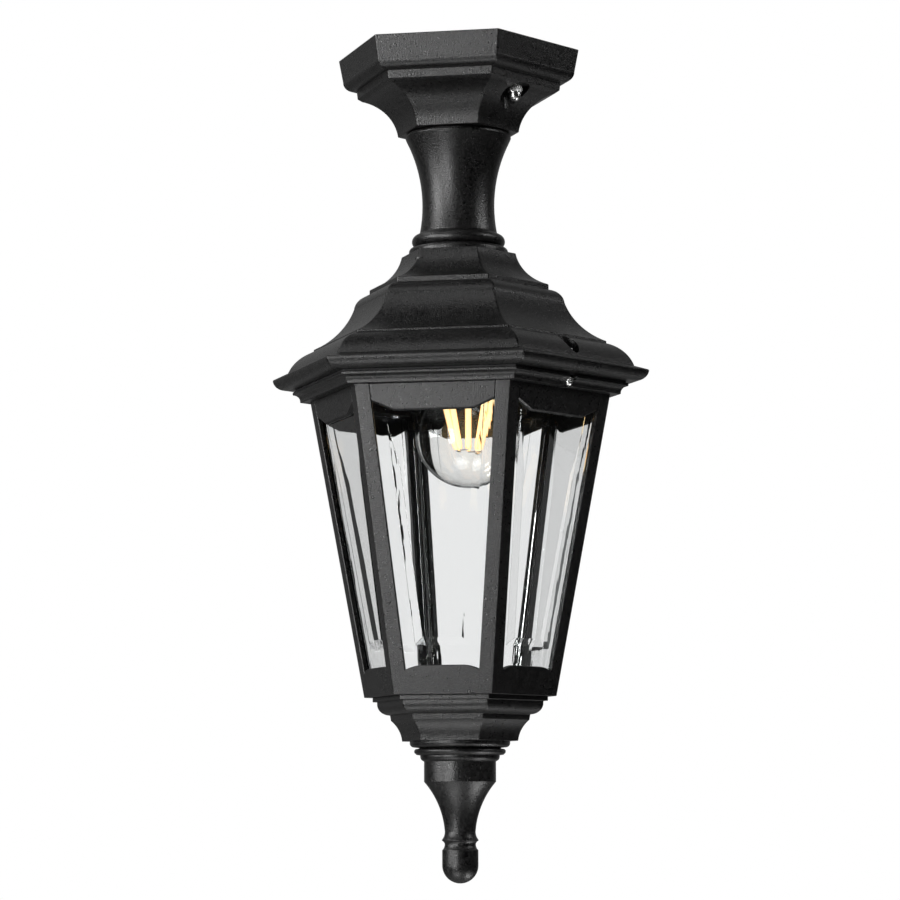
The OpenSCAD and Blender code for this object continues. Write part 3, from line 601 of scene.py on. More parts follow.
POWDER = PowderCoat()
STAINLESS = Metal()
ZINC = Metal("zinc_steel", (0.58, 0.59, 0.61), (0.40, 0.41, 0.44), 0.3, 0.18, 0.008)
BRASS = Metal("brass", (0.80, 0.58, 0.26), (0.60, 0.42, 0.18), 0.26, 0.16, 0.006)
CAP_METAL = Metal("cap_metal", (0.72, 0.71, 0.68), (0.55, 0.54, 0.52), 0.24, 0.12, 0.006)
RUBBER = Moulded()
PORCELAIN = Moulded("porcelain", (0.80, 0.79, 0.75), (0.72, 0.71, 0.67), 0.22, 160.0, 0.03, 0.4)
BLOCK_PLASTIC = Moulded("block_plastic", (0.78, 0.76, 0.68), (0.70, 0.68, 0.60), 0.5, 1200.0, 0.02)
WIRE_BROWN = Moulded("wire_brown", (0.16, 0.06, 0.025), (0.12, 0.045, 0.02), 0.35, 900.0, 0.01)
WIRE_BLUE = Moulded("wire_blue", (0.02, 0.10, 0.42), (0.015, 0.08, 0.33), 0.35, 900.0, 0.01)
WIRE_GREEN = StripedWire()
INSULATOR = Moulded("insulator_black", (0.020, 0.014, 0.022), (0.012, 0.009, 0.014), 0.14, 300.0, 0.01, 0.5)
PANE_GLASS = ClearGlass()
PANE_BEVEL = ClearGlass("pane_bevel_glass", wave=240.0, wave_depth=0.17, along=0.02)
LAMP_GLASS = ClearGlass("lamp_glass", (1.0, 0.998, 0.99), 1.48, 30.0, 0.01, 1.0)
FILAMENT = Glow()


# ---------------------------------------------------------------- outlines


def arc(start: Point, end: Point, radius: float, step: float = 3.0) -> Outline:
    """Points of an arc. A positive radius bulges away from the axis on a downward run.

    Args:
        start: First point as (radius, height).
        end: Last point.
        radius: Radius in millimetres, with its sign.
        step: Most degrees between two points.

    Returns:
        The points, both ends included.
    """
    (x1, y1), (x2, y2) = start, end
    dx, dy = x2 - x1, y2 - y1
    length = math.hypot(dx, dy)
    side = math.copysign(1.0, radius)
    rise = math.sqrt(max(radius * radius - length * length / 4, 0.0))
    cx = (x1 + x2) / 2 + side * dy / length * rise
    cy = (y1 + y2) / 2 - side * dx / length * rise
    first = math.atan2(y1 - cy, x1 - cx)
    sweep = 2 * math.asin(min(length / 2 / abs(radius), 1.0))
    count = max(3, math.ceil(math.degrees(sweep) / step))
    turns = [first - side * sweep * i / count for i in range(count + 1)]
    return [(cx + abs(radius) * math.cos(t), cy + abs(radius) * math.sin(t)) for t in turns]


def without_doubles(points: Sequence[Point]) -> Outline:
    """The points that aren't on top of the one before."""
    return [p for i, p in enumerate(points) if i == 0 or math.dist(p, points[i - 1]) > CLOSE]


def eased(points: Sequence[Point], radius: float, least_turn: float = 18.0, closed: bool = False) -> Outline:
    """Rounds the corners of an outline, as paint and a worn pattern round a casting's.

    Args:
        points: The outline.
        radius: Radius of the rounding in millimetres.
        least_turn: Corners that turn by fewer degrees stay.
        closed: Whether the last point is joined to the first.

    Returns:
        The rounded outline.
    """
    clean = without_doubles(points)
    if closed and math.dist(clean[0], clean[-1]) < CLOSE:
        clean.pop()
    count = len(clean)
    result: Outline = []
    for i, point in enumerate(clean):
        if not closed and i in (0, count - 1):
            result.append(point)
            continue
        before, after = clean[i - 1], clean[(i + 1) % count]
        a = Vector((before[0] - point[0], before[1] - point[1]))
        b = Vector((after[0] - point[0], after[1] - point[1]))
        turn = math.pi - a.angle(b)
        if math.degrees(turn) < least_turn:
            result.append(point)
            continue
        back = min(radius * math.tan(turn / 2), 0.45 * a.length, 0.45 * b.length)
        first = Vector(point) + a.normalized() * back
        last = Vector(point) + b.normalized() * back
        bits = 4 if math.degrees(turn) > 50 else 3
        for k in range(bits + 1):
            t = k / bits
            along = first.lerp(Vector(point), t).lerp(Vector(point).lerp(last, t), t)
            result.append((along.x, along.y))
    if closed:
        result.append(result[0])
    return result


# ---------------------------------------------------------------- meshes


def new_object(name: str, mesh: bpy.types.Mesh) -> Piece:
    """Puts a mesh in the scene at the origin.

    Args:
        name: The object's name.
        mesh: Its mesh.

    Returns:
        The object.
    """
    made = bpy.data.objects.new(name, mesh)
    bpy.context.scene.collection.objects.link(made)
    return made


def mesh_from(name: str, points: Iterable[Sequence[float]], faces: Iterable[Sequence[int]]) -> Piece:
    """Makes an object from points in millimetres.

    Args:
        name: The object's name.
        points: Its points.
        faces: Its faces.

    Returns:
        The object.
    """
    mesh = bpy.data.meshes.new(name)
    mesh.from_pydata([Vector(p) * MM for p in points], [], [tuple(f) for f in faces])
    mesh.update()
    return new_object(name, mesh)


def settle(piece: Piece) -> Piece:
    """Turns an object's modifiers into a plain mesh.

    Args:
        piece: The object.

    Returns:
        The same object, without modifiers.
    """
    bpy.context.view_layer.update()
    evaluated = piece.evaluated_get(bpy.context.evaluated_depsgraph_get())
    mesh = bpy.data.meshes.new_from_object(evaluated)
    piece.modifiers.clear()
    old = piece.data
    piece.data = mesh
    mesh.name = piece.name
    if old.users == 0:
        bpy.data.meshes.remove(old)
    return piece


def coat(piece: Piece, material: bpy.types.Material) -> Piece:
    """Gives every face of a piece one material.

    Args:
        piece: The piece.
        material: The material.

    Returns:
        The piece.
    """
    mesh = piece.data
    mesh.polygons.foreach_set("material_index", [0] * len(mesh.polygons))
    mesh.materials.clear()
    mesh.materials.append(material)
    return piece


def combine(piece: Piece, tools: Sequence[Piece], way: str) -> Piece:
    """Joins, cuts or meets a piece with tools, and removes the tools.

    Args:
        piece: The piece.
        tools: Closed objects.
        way: The operation, as a Boolean modifier names it.

    Returns:
        The piece.
    """
    for tool in tools:
        change = piece.modifiers.new("combine", "BOOLEAN")
        change.operation = way
        change.solver = "EXACT"
        change.object = tool
    settle(piece)
    for tool in tools:
        bpy.data.objects.remove(tool)
    return piece


def carve(piece: Piece, tools: Sequence[Piece], join: bool = False) -> Piece:
    """Cuts tools out of a piece, or joins them to it, and removes the tools.

    Args:
        piece: The piece.
        tools: Closed objects.
        join: True to join.

    Returns:
        The piece.
    """
    finish = piece.data.materials[0]
    return coat(combine(piece, tools, "UNION" if join else "DIFFERENCE"), finish)


def keep_inside(piece: Piece, shape: Piece) -> Piece:
    """Keeps the part of a piece that is inside a closed shape, and removes the shape."""
    return combine(piece, [shape], "INTERSECT")


def drill(radius: float, start: Sequence[float], end: Sequence[float], sides: int = 48) -> Piece:
    """Closed cylinder between two points.

    Args:
        radius: Its radius.
        start: Middle of one end.
        end: Middle of the other.
        sides: Its sides.

    Returns:
        The cylinder.
    """
    a, b = Vector(start), Vector(end)
    along = (b - a).normalized()
    across = along.orthogonal().normalized()
    over = along.cross(across)
    turns = [2 * math.pi * k / sides for k in range(sides)]
    ring = [radius * (across * math.cos(t) + over * math.sin(t)) for t in turns]
    points = [end_point + spoke for end_point in (a, b) for spoke in ring]
    faces = [(k, (k + 1) % sides, sides + (k + 1) % sides, sides + k) for k in range(sides)]
    faces += [tuple(reversed(range(sides))), tuple(range(sides, 2 * sides))]
    return mesh_from("drill", points, faces)


def block(low: Sequence[float], high: Sequence[float]) -> Piece:
    """Closed box between two corners.

    Args:
        low: Lowest corner.
        high: Highest corner.

    Returns:
        The box.
    """
    xs, ys, zs = zip(low, high)
    points = [(x, y, z) for z in zs for y in ys for x in xs]
    faces = [(0, 2, 3, 1), (4, 5, 7, 6), (0, 1, 5, 4), (2, 6, 7, 3), (0, 4, 6, 2), (1, 3, 7, 5)]
    return mesh_from("block", points, faces)


def smooth(piece: Piece, degrees: float = 32.0) -> Piece:
    """Shades a piece smooth, sharp over an angle, with flat faces kept flat.

    Args:
        piece: The piece.
        degrees: The angle.

    Returns:
        The piece.
    """
    mesh = piece.data
    mesh.shade_smooth()
    mesh.set_sharp_from_angle(angle=math.radians(degrees))
    weigh = piece.modifiers.new("weigh", "WEIGHTED_NORMAL")
    weigh.keep_sharp = True
    weigh.weight = 70
    return settle(piece)


# ---------------------------------------------------------------- geometry trees


class GeometryRecipe:
    """A geometry tree with named inputs, made once and used on many pieces.

    Attributes:
        name: The tree's name.
        inputs: Its inputs as name and socket type, after the geometry.
    """

    name = "recipe"
    inputs: tuple[tuple[str, str], ...] = ()

    def tree(self) -> bpy.types.NodeTree:
        """Makes the tree, or returns it if it is made.

        Returns:
            The tree.
        """
        made = bpy.data.node_groups.get(self.name)
        if made is None:
            made = bpy.data.node_groups.new(self.name, "GeometryNodeTree")
            made.interface.new_socket("Geometry", in_out="INPUT", socket_type="NodeSocketGeometry")
            for name, kind in self.inputs:
                made.interface.new_socket(name, in_out="INPUT", socket_type=kind)
            made.interface.new_socket("Geometry", in_out="OUTPUT", socket_type="NodeSocketGeometry")
            graph = Graph(made)
            start = graph.node("NodeGroupInput")
            shape = self.write(graph, {s.name: Wire(graph, s) for s in start.outputs if s.name})
            real = graph.wire("GeometryNodeRealizeInstances", {}, {"Geometry": shape})
            dressed = graph.wire(
                "GeometryNodeSetMaterial", {},
                {"Geometry": real, "Material": Wire(graph, start.outputs["Material"])},
            )
            graph.node("NodeGroupOutput", {}, {"Geometry": dressed})
        return made

    def write(self, graph: Graph, given: dict[str, Wire]) -> Wire:
        """Writes the nodes between the inputs and the realized result.

        Args:
            graph: The tree.
            given: The inputs by name.

        Returns:
            The geometry.
        """
        raise NotImplementedError

    def apply(self, piece: Piece, values: dict) -> Piece:
        """Runs the tree on an object and keeps the result as a plain mesh.

        Args:
            piece: The object.
            values: Values of the inputs by name.

        Returns:
            The object.
        """
        tree = self.tree()
        change = piece.modifiers.new(self.name, "NODES")
        change.node_group = tree
        for item in tree.interface.items_tree:
            if item.in_out == "INPUT" and item.name in values:
                change[item.identifier] = values[item.name]
        return settle(piece)


class SpunMoulding(GeometryRecipe):
    """Spins an outline round the axis into a moulding of any number of sides."""

    name = "spun_moulding"
    inputs = (("Sides", "NodeSocketInt"), ("Material", "NodeSocketMaterial"))

    def write(self, graph: Graph, given: dict[str, Wire]) -> Wire:
        """Writes the spin: a grid whose rows follow the outline and whose columns go round.

        Args:
            graph: The tree.
            given: The inputs by name.

        Returns:
            The moulding.
        """
        outline, sides = given["Geometry"], given["Sides"]
        count = graph.wire("GeometryNodeAttributeDomainSize", {}, {"Geometry": outline}, "Point Count")
        grid = graph.wire(
            "GeometryNodeMeshGrid", {},
            {"Size X": count - 1, "Size Y": sides, "Vertices X": count, "Vertices Y": sides + 1}, "Mesh",
        )
        where = graph.wire("GeometryNodeInputPosition")
        parts = graph.node("ShaderNodeSeparateXYZ", {}, {0: where})
        row = graph.math("ROUND", Wire(graph, parts.outputs[0]) + (count - 1) * 0.5)
        column = graph.math("ROUND", Wire(graph, parts.outputs[1]) + sides * 0.5)
        sample = graph.wire(
            "GeometryNodeSampleIndex", {"data_type": "FLOAT_VECTOR"},
            {"Geometry": outline, "Value": where, "Index": row},
        )
        point = graph.node("ShaderNodeSeparateXYZ", {}, {0: sample})
        reach, height = Wire(graph, point.outputs[0]), Wire(graph, point.outputs[2])
        turn = column * (2 * math.pi) / sides
        spot = graph.wire(
            "ShaderNodeCombineXYZ", {},
            {0: reach * graph.math("COSINE", turn), 1: reach * graph.math("SINE", turn), 2: height},
        )
        spun = graph.wire("GeometryNodeSetPosition", {}, {"Geometry": grid, "Position": spot})
        return graph.wire("GeometryNodeMergeByDistance", {}, {"Geometry": spun, "Distance": 2e-7})


class RoundOfCopies(GeometryRecipe):
    """Repeats a piece at even turns round the axis."""

    name = "round_of_copies"
    inputs = (("Copies", "NodeSocketInt"), ("Material", "NodeSocketMaterial"))

    def write(self, graph: Graph, given: dict[str, Wire]) -> Wire:
        """Writes the copies: one point for each, all on the axis, each turned further.

        Args:
            graph: The tree.
            given: The inputs by name.

        Returns:
            The copies.
        """
        spots = graph.wire("GeometryNodePoints", {}, {"Count": given["Copies"]})
        index = graph.wire("GeometryNodeInputIndex")
        turn = graph.wire("ShaderNodeCombineXYZ", {}, {2: index * (2 * math.pi) / given["Copies"]})
        return graph.wire(
            "GeometryNodeInstanceOnPoints", {},
            {"Points": spots, "Instance": given["Geometry"], "Rotation": turn},
        )


SPUN = SpunMoulding()
COPIES = RoundOfCopies()


def spin(
    name: str, outline: Sequence[Point], sides: Sides, finish: Finish, centre: Point = (0.0, 0.0)
) -> Piece:
    """Spins an outline of (reach, height) points into a closed mesh.

    Args:
        name: The object's name.
        outline: Points that run down on an outer wall. On a hexagon the reach is the half
            width across flats, and flats face +Y and -Y.
        sides: Number of sides.
        finish: The finish.
        centre: Where the axis is.

    Returns:
        The object.
    """
    widen = 1 / COS30 if sides is Sides.HEXAGON else 1.0
    piece = mesh_from(name, [(max(r, 0.0) * widen, 0.0, z) for r, z in outline], [])
    coat(SPUN.apply(piece, {"Sides": sides.value, "Material": finish.material()}), finish.material())
    if centre != (0.0, 0.0):
        piece.data.transform(Matrix.Translation(Vector((*centre, 0.0)) * MM))
    return piece


def round_marked(piece: Piece, width: float, segments: int) -> Piece:
    """Rounds the edges that carry a bevel weight.

    Args:
        piece: The piece.
        width: Width of the rounding in millimetres.
        segments: Facets across it.

    Returns:
        The piece.
    """
    change = piece.modifiers.new("edges", "BEVEL")
    change.limit_method = "WEIGHT"
    change.width = width * MM
    change.segments = segments
    change.use_clamp_overlap = False
    return settle(piece)


def ease_mitres(piece: Piece, width: float) -> Piece:
    """Rounds the outer mitre lines of a hexagonal moulding.

    Args:
        piece: The moulding.
        width: Width of the rounding in millimetres.

    Returns:
        The piece.
    """
    mesh = piece.data
    work = bmesh.new()
    work.from_mesh(mesh)
    layers = work.edges.layers.float
    layer = layers.get(EDGE_WEIGHT) or layers.new(EDGE_WEIGHT)
    for edge in work.edges:
        if len(edge.link_faces) != 2:
            continue
        a, b = (v.co for v in edge.verts)
        if min(a.to_2d().length, b.to_2d().length) < ON_AXIS:
            continue
        lean = abs(math.remainder(math.atan2(a.y, a.x) - math.atan2(b.y, b.x), 2 * math.pi))
        if lean < SAME_TURN and edge.is_convex and edge.calc_face_angle(0.0) > MITRE_ANGLE:
            edge[layer] = 1.0
    work.to_mesh(mesh)
    work.free()
    return round_marked(piece, width, 3)


def casting_copy(node: str, name: str, finish: Finish, width: float) -> Piece:
    """Copies a CAD node as one closed mesh and rounds its longer sharp edges.

    Args:
        node: The CAD node.
        name: The piece's name.
        finish: Its finish.
        width: Width of the rounding in millimetres.

    Returns:
        The piece.
    """
    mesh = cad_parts[node].data.copy()
    mesh.materials.clear()
    mesh.materials.append(finish.material())
    piece = new_object(name, mesh)
    work = bmesh.new()
    work.from_mesh(mesh)
    bmesh.ops.remove_doubles(work, verts=work.verts, dist=2e-6)
    for face in work.faces:
        face.material_index = 0
    bmesh.ops.dissolve_limit(work, angle_limit=math.radians(0.3), verts=work.verts, edges=work.edges)
    layer = work.edges.layers.float.new(EDGE_WEIGHT)
    room = width * MM * 2.2
    for edge in work.edges:
        if len(edge.link_faces) != 2 or edge.calc_face_angle(0.0) < CREASE_ANGLE:
            continue
        if edge.is_convex and edge.calc_length() > room:
            edge[layer] = 1.0
    work.to_mesh(mesh)
    work.free()
    return smooth(round_marked(piece, width, 2), 30.0)


def pan_screw(name: str, head: Point, shank: Point, finish: Finish, place: Matrix) -> Piece:
    """Makes a pan-headed screw with a cross recess, head down from its seat.

    Args:
        name: The object's name.
        head: Radius and height of the head.
        shank: Radius and length of the shank.
        finish: Its finish.
        place: Where it goes, in millimetres.

    Returns:
        The screw.
    """
    r, h = head
    outline = [
        (0.0, shank[1]), (shank[0], shank[1]), (shank[0], 0.0), (r, 0.0), (r, -h * 0.35),
        (r * 0.75, -h * 0.85), (r * 0.4, -h), (0.0, -h),
    ]
    piece = spin(name, eased(outline, 0.25), Sides.SMALL_ROUND, finish)
    slots = []
    for along, across in ((r * 0.6, r * 0.12), (r * 0.12, r * 0.6)):
        slots.append(block((-along, -across, -h - 0.1), (along, across, -h * 0.45)))
    carve(piece, slots)
    piece.data.transform(Matrix.Scale(MM, 4) @ place @ Matrix.Scale(1 / MM, 4))
    return piece


def gather(name: str, pieces: Sequence[Piece]) -> Piece:
    """Puts the meshes of several pieces into one object.

    Args:
        name: The new object's name.
        pieces: The pieces, which are removed.

    Returns:
        The object.
    """
    work = bmesh.new()
    for piece in pieces:
        work.from_mesh(piece.data)
    mesh = bpy.data.meshes.new(name)
    work.to_mesh(mesh)
    work.free()
    mesh.materials.append(pieces[0].data.materials[0])
    for piece in pieces:
        bpy.data.objects.remove(piece)
    return new_object(name, mesh)


def repeat(piece: Piece, count: int, finish: Finish) -> Piece:
    """Repeats a piece at even turns round the axis.

    Args:
        piece: The piece.
        count: How many there are.
        finish: Its finish.

    Returns:
        The piece.
    """
    COPIES.apply(piece, {"Copies": count, "Material": finish.material()})
    return smooth(coat(piece, finish.material()), 35.0)


def stand_for(piece: Piece, body: Body, slot: str, *nodes: str) -> Piece:
    """Hands a finished piece to the frame.

    Args:
        piece: The piece.
        body: The body it rides on.
        slot: Material slot of the record; not used.
        nodes: CAD nodes it replaces.

    Returns:
        The piece.
    """
    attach(piece, body.value)
    if nodes:
        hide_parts(*nodes)
    LOG.info("%s: %d faces, rides on %s", piece.name, len(piece.data.polygons), body.value)
    return piece


def carry(node: str, ending: str, finish: Finish, width: float, body: Body, slot: str) -> None:
    """Hands over a rounded copy of a CAD node in its place.

    Args:
        node: The CAD node.
        ending: What its name ends in after the node's.
        finish: Its finish.
        width: Width of the rounding in millimetres.
        body: The body it rides on.
        slot: Material slot of the record; not used.
    """
    stand_for(casting_copy(node, f"{node}_{ending}", finish, width), body, slot, node)


def dress(finish: Finish, *nodes: str) -> None:
    """Gives CAD nodes a finish.

    Args:
        finish: The finish.
        nodes: The nodes.
    """
    for node in nodes:
        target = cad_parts[node]
        if not target.material_slots:
            target.data.materials.append(finish.material())
        for slot in target.material_slots:
            slot.material = finish.material()
        LOG.info("%s: dressed in %s", node, finish.name)


# ---------------------------------------------------------------- sub-assemblies


@dataclass
class Canopy:
    """The cast canopy at the ceiling with what hangs it and wires it.

    Attributes:
        half: Half width across flats at the ceiling.
        height: Height of the casting.
        stud_reach: Distance of each stud from the axis.
        pocket_r: Radius of the nut pockets.
        pocket_top: Height of the pockets' ceilings.
    """

    half: float = 67.0
    height: float = 51.1
    stud_reach: float = 47.0
    pocket_r: float = 9.2
    pocket_top: float = -26.0

    def outline(self) -> Outline:
        """Outline from the inside of the floor, over the rim and down the mouldings.

        Returns:
            The outline.
        """
        inside = [
            (0.0, -47.5), (29.6, -47.5), (35.2, -22.8), (53.3, -22.8), (53.7, -18.4), (61.6, -14.0),
            (63.6, -1.8), (65.4, -1.8), (65.4, 0.0),
        ]
        outside = [
            (self.half, 0.0),
            *arc((self.half - 2.4, -14.2), (self.half - 8.6, -20.5), 6.3),
            (56.9, -20.5), (56.4, -25.4), *arc((54.0, -27.1), (33.7, -self.height), -28.8),
            (0.0, -self.height),
        ]
        return eased(inside + outside, 0.55)

    def casting(self) -> Piece:
        """Makes the casting with its two nut pockets and its stem hole.

        Returns:
            The piece.
        """
        piece = ease_mitres(spin("canopy_casting", self.outline(), Sides.HEXAGON, POWDER), 0.7)
        tools = [drill(STEM_BORE, (0, 0, -60), (0, 0, -40))]
        for side in (-1, 1):
            y = side * self.stud_reach
            tools.append(drill(self.pocket_r, (0, y, -60), (0, y, self.pocket_top), FINE_ROUND))
            tools.append(drill(2.4, (0, y, -30), (0, y, -10)))
        return smooth(carve(piece, tools))

    def build(self) -> None:
        """Builds and dresses the sub-assembly."""
        stand_for(self.casting(), Body.HOOD, "powder_black", "canopy")
        for node in ("canopy_nuts", "canopy_washers"):
            carry(node, "bright", STAINLESS, 0.12, Body.HOOD, "stainless")
        dress(STAINLESS, "canopy_studs")
        dress(ZINC, "ceiling_bracket", "stud_locknuts", "terminal_screws", "block_screws", "earth_tag")
        dress(BRASS, "terminal_sleeves", "earth_screw")
        dress(BLOCK_PLASTIC, "terminal_block")
        dress(RUBBER, "ceiling_gasket")


@dataclass
class Neck:
    """The turned neck with the stem that clamps it.

    Attributes:
        top: Height of its top.
        waist: Radius at the waist.
        foot: Height of its foot.
    """

    top: float = -51.1
    waist: float = 22.6
    foot: float = -123.7

    def outline(self) -> Outline:
        """Closed outline of the hollow column.

        Returns:
            The outline.
        """
        outside = [
            *arc((30.7, self.top), (33.2, self.top - 2.5), 2.6),
            *arc((32.6, -55.1), (self.waist, -97.0), -92.0),
            *arc((self.waist, -97.0), (24.2, -113.8), -92.0),
            (24.2, -114.4),
            *arc((25.2, -115.4), (29.2, -119.6), 4.25, 6.0),
            *arc((29.2, -119.6), (25.4, self.foot), 4.25, 6.0),
        ]
        inside = [(STEM_BORE, self.foot), (STEM_BORE, -119.7), (17.0, -119.7), (17.0, self.top)]
        return eased(outside + inside, 0.25, 24.0, closed=True)

    def build(self) -> None:
        """Builds and dresses the sub-assembly."""
        piece = smooth(spin("neck_casting", self.outline(), Sides.ROUND, POWDER))
        stand_for(piece, Body.HOOD, "powder_black", "neck")
        dress(ZINC, "stem_tube", "stem_nuts", "stem_washers")


@dataclass
class Roof:
    """The moulded roof with its screw pocket, hinge lugs and what is fixed inside it.

    Attributes:
        top: Height of its round cap.
        hex_top: Height where the hexagon begins.
        floor: Height of the inner ceiling.
        eave: Height of the underside.
        half: Half width across flats at the eave.
        screw_reach: Distance of the cage screw from the axis.
        pocket_r: Radius of the screw's pocket.
        pocket_floor: Height of the pocket's floor.
        boss_x: Distance of the plate's bosses from the axis.
        plate_z: Height of the lampholder's plate.
        skin: How far under the surface the screw's boss stays.
        hinge_y: Distance of the hinge's pin behind the axis.
        hinge_z: Height of the pin.
    """

    top: float = -123.7
    hex_top: float = -127.9
    floor: float = -131.8
    eave: float = -210.4
    half: float = 104.0
    screw_reach: float = 88.5
    pocket_r: float = 6.5
    pocket_floor: float = -198.5
    boss_x: float = 35.0
    plate_z: float = -150.0
    skin: float = 1.2
    hinge_y: float = 96.0
    hinge_z: float = -214.4

    def outer(self) -> Outline:
        """Outline of the mouldings from the hexagon's top down to the underside.

        Returns:
            The outline.
        """
        return [
            *arc((31.7, self.hex_top), (49.0, -147.9), -26.2),
            (49.7, -148.3), (49.7, -151.5),
            *arc((50.2, -151.7), (58.4, -160.2), 9.6),
            *arc((58.4, -160.2), (80.2, -184.7), -41.9),
            (80.9, -184.9), (81.0, -186.4),
            *arc((81.0, -186.4), (96.0, -201.0), 22.3),
            (self.half - 0.3, -203.5),
            *arc((self.half, -204.2), (self.half - 6.8, self.eave + 0.1), 7.0, 6.0),
            (self.half - 7.0, self.eave),
        ]

    def inner(self) -> Outline:
        """Outline of the hollow from the top down to the underside.

        Returns:
            The outline.
        """
        return [
            *arc((28.6, self.floor), (46.2, -151.2), -29.6, 6.0),
            (46.6, -154.6),
            *arc((48.0, -155.0), (55.3, -161.4), 7.0, 8.0),
            *arc((55.3, -161.4), (77.0, -187.4), -45.2, 6.0),
            (79.2, -190.6), (86.5, -197.0), (86.5, self.eave),
        ]

    def casting(self) -> Piece:
        """Makes the casting: shell, cap, screw boss, plate bosses, lugs and bores.

        Returns:
            The piece.
        """
        shell = [(0.0, self.hex_top), *self.outer(), *reversed(self.inner()), (0.0, self.floor)]
        piece = ease_mitres(spin("roof_casting", eased(shell, 0.5), Sides.HEXAGON, POWDER), 0.8)
        cap = [
            (0.0, self.top), *arc((28.5, self.top), (31.1, -126.3), 2.7, 8.0), (31.1, self.hex_top - 0.3),
            (0.0, self.hex_top - 0.3),
        ]
        boss = drill(self.pocket_r + 2.8, (0, -self.screw_reach, self.eave), (0, -self.screw_reach, -180), 72)
        core = [(r - self.skin, z - self.skin / 2) for r, z in self.outer() if z > self.eave + 1]
        core = [(0.0, core[0][1]), *core, (core[-1][0], self.eave), (0.0, self.eave)]
        keep_inside(boss, spin("core", core, Sides.HEXAGON, POWDER))
        added = [spin("cap", eased(cap, 0.3), Sides.ROUND, POWDER), boss]
        for side in (-1, 1):
            x = side * self.boss_x
            added.append(drill(4.0, (x, 0, self.plate_z), (x, 0, -134)))
            x1, x2 = sorted((side * 9.3, side * 14.8))
            added.append(drill(3.0, (x1, self.hinge_y, self.hinge_z), (x2, self.hinge_y, self.hinge_z)))
            added.append(block((x1, self.hinge_y - 3, self.hinge_z), (x2, self.hinge_y + 3, self.eave + 1)))
        carve(piece, added, join=True)
        y = -self.screw_reach
        tools = [
            drill(STEM_BORE, (0, 0, -140), (0, 0, -120)),
            drill(self.pocket_r, (0, y, self.pocket_floor), (0, y, -170), FINE_ROUND),
            drill(1.75, (0, y, -215), (0, y, -190)),
            drill(2.03, (-30, self.hinge_y, self.hinge_z), (30, self.hinge_y, self.hinge_z)),
        ]
        tools += [drill(1.3, (s * self.boss_x, 0, -155), (s * self.boss_x, 0, -141)) for s in (-1, 1)]
        return smooth(carve(piece, tools))

    def build(self) -> None:
        """Builds and dresses the sub-assembly."""
        stand_for(self.casting(), Body.HOOD, "powder_black", "roof")
        carry("screw_washer", "bright", STAINLESS, 0.08, Body.HOOD, "stainless")
        carry("cage_screw", "bright", STAINLESS, 0.15, Body.SCREW, "stainless")
        dress(RUBBER, "roof_gasket")
        dress(STAINLESS, "hinge_pin")
        dress(ZINC, "holder_plate", "holder_plate_screws", "lampholder_screws")
        dress(BRASS, "lampholder_contact", "lampholder_sleeve")
        dress(WIRE_BROWN, "live_lead")
        dress(WIRE_BLUE, "neutral_lead")
        dress(WIRE_GREEN, "earth_lead")
        carry("lampholder", "glazed", PORCELAIN, 0.4, Body.HOOD, "porcelain")


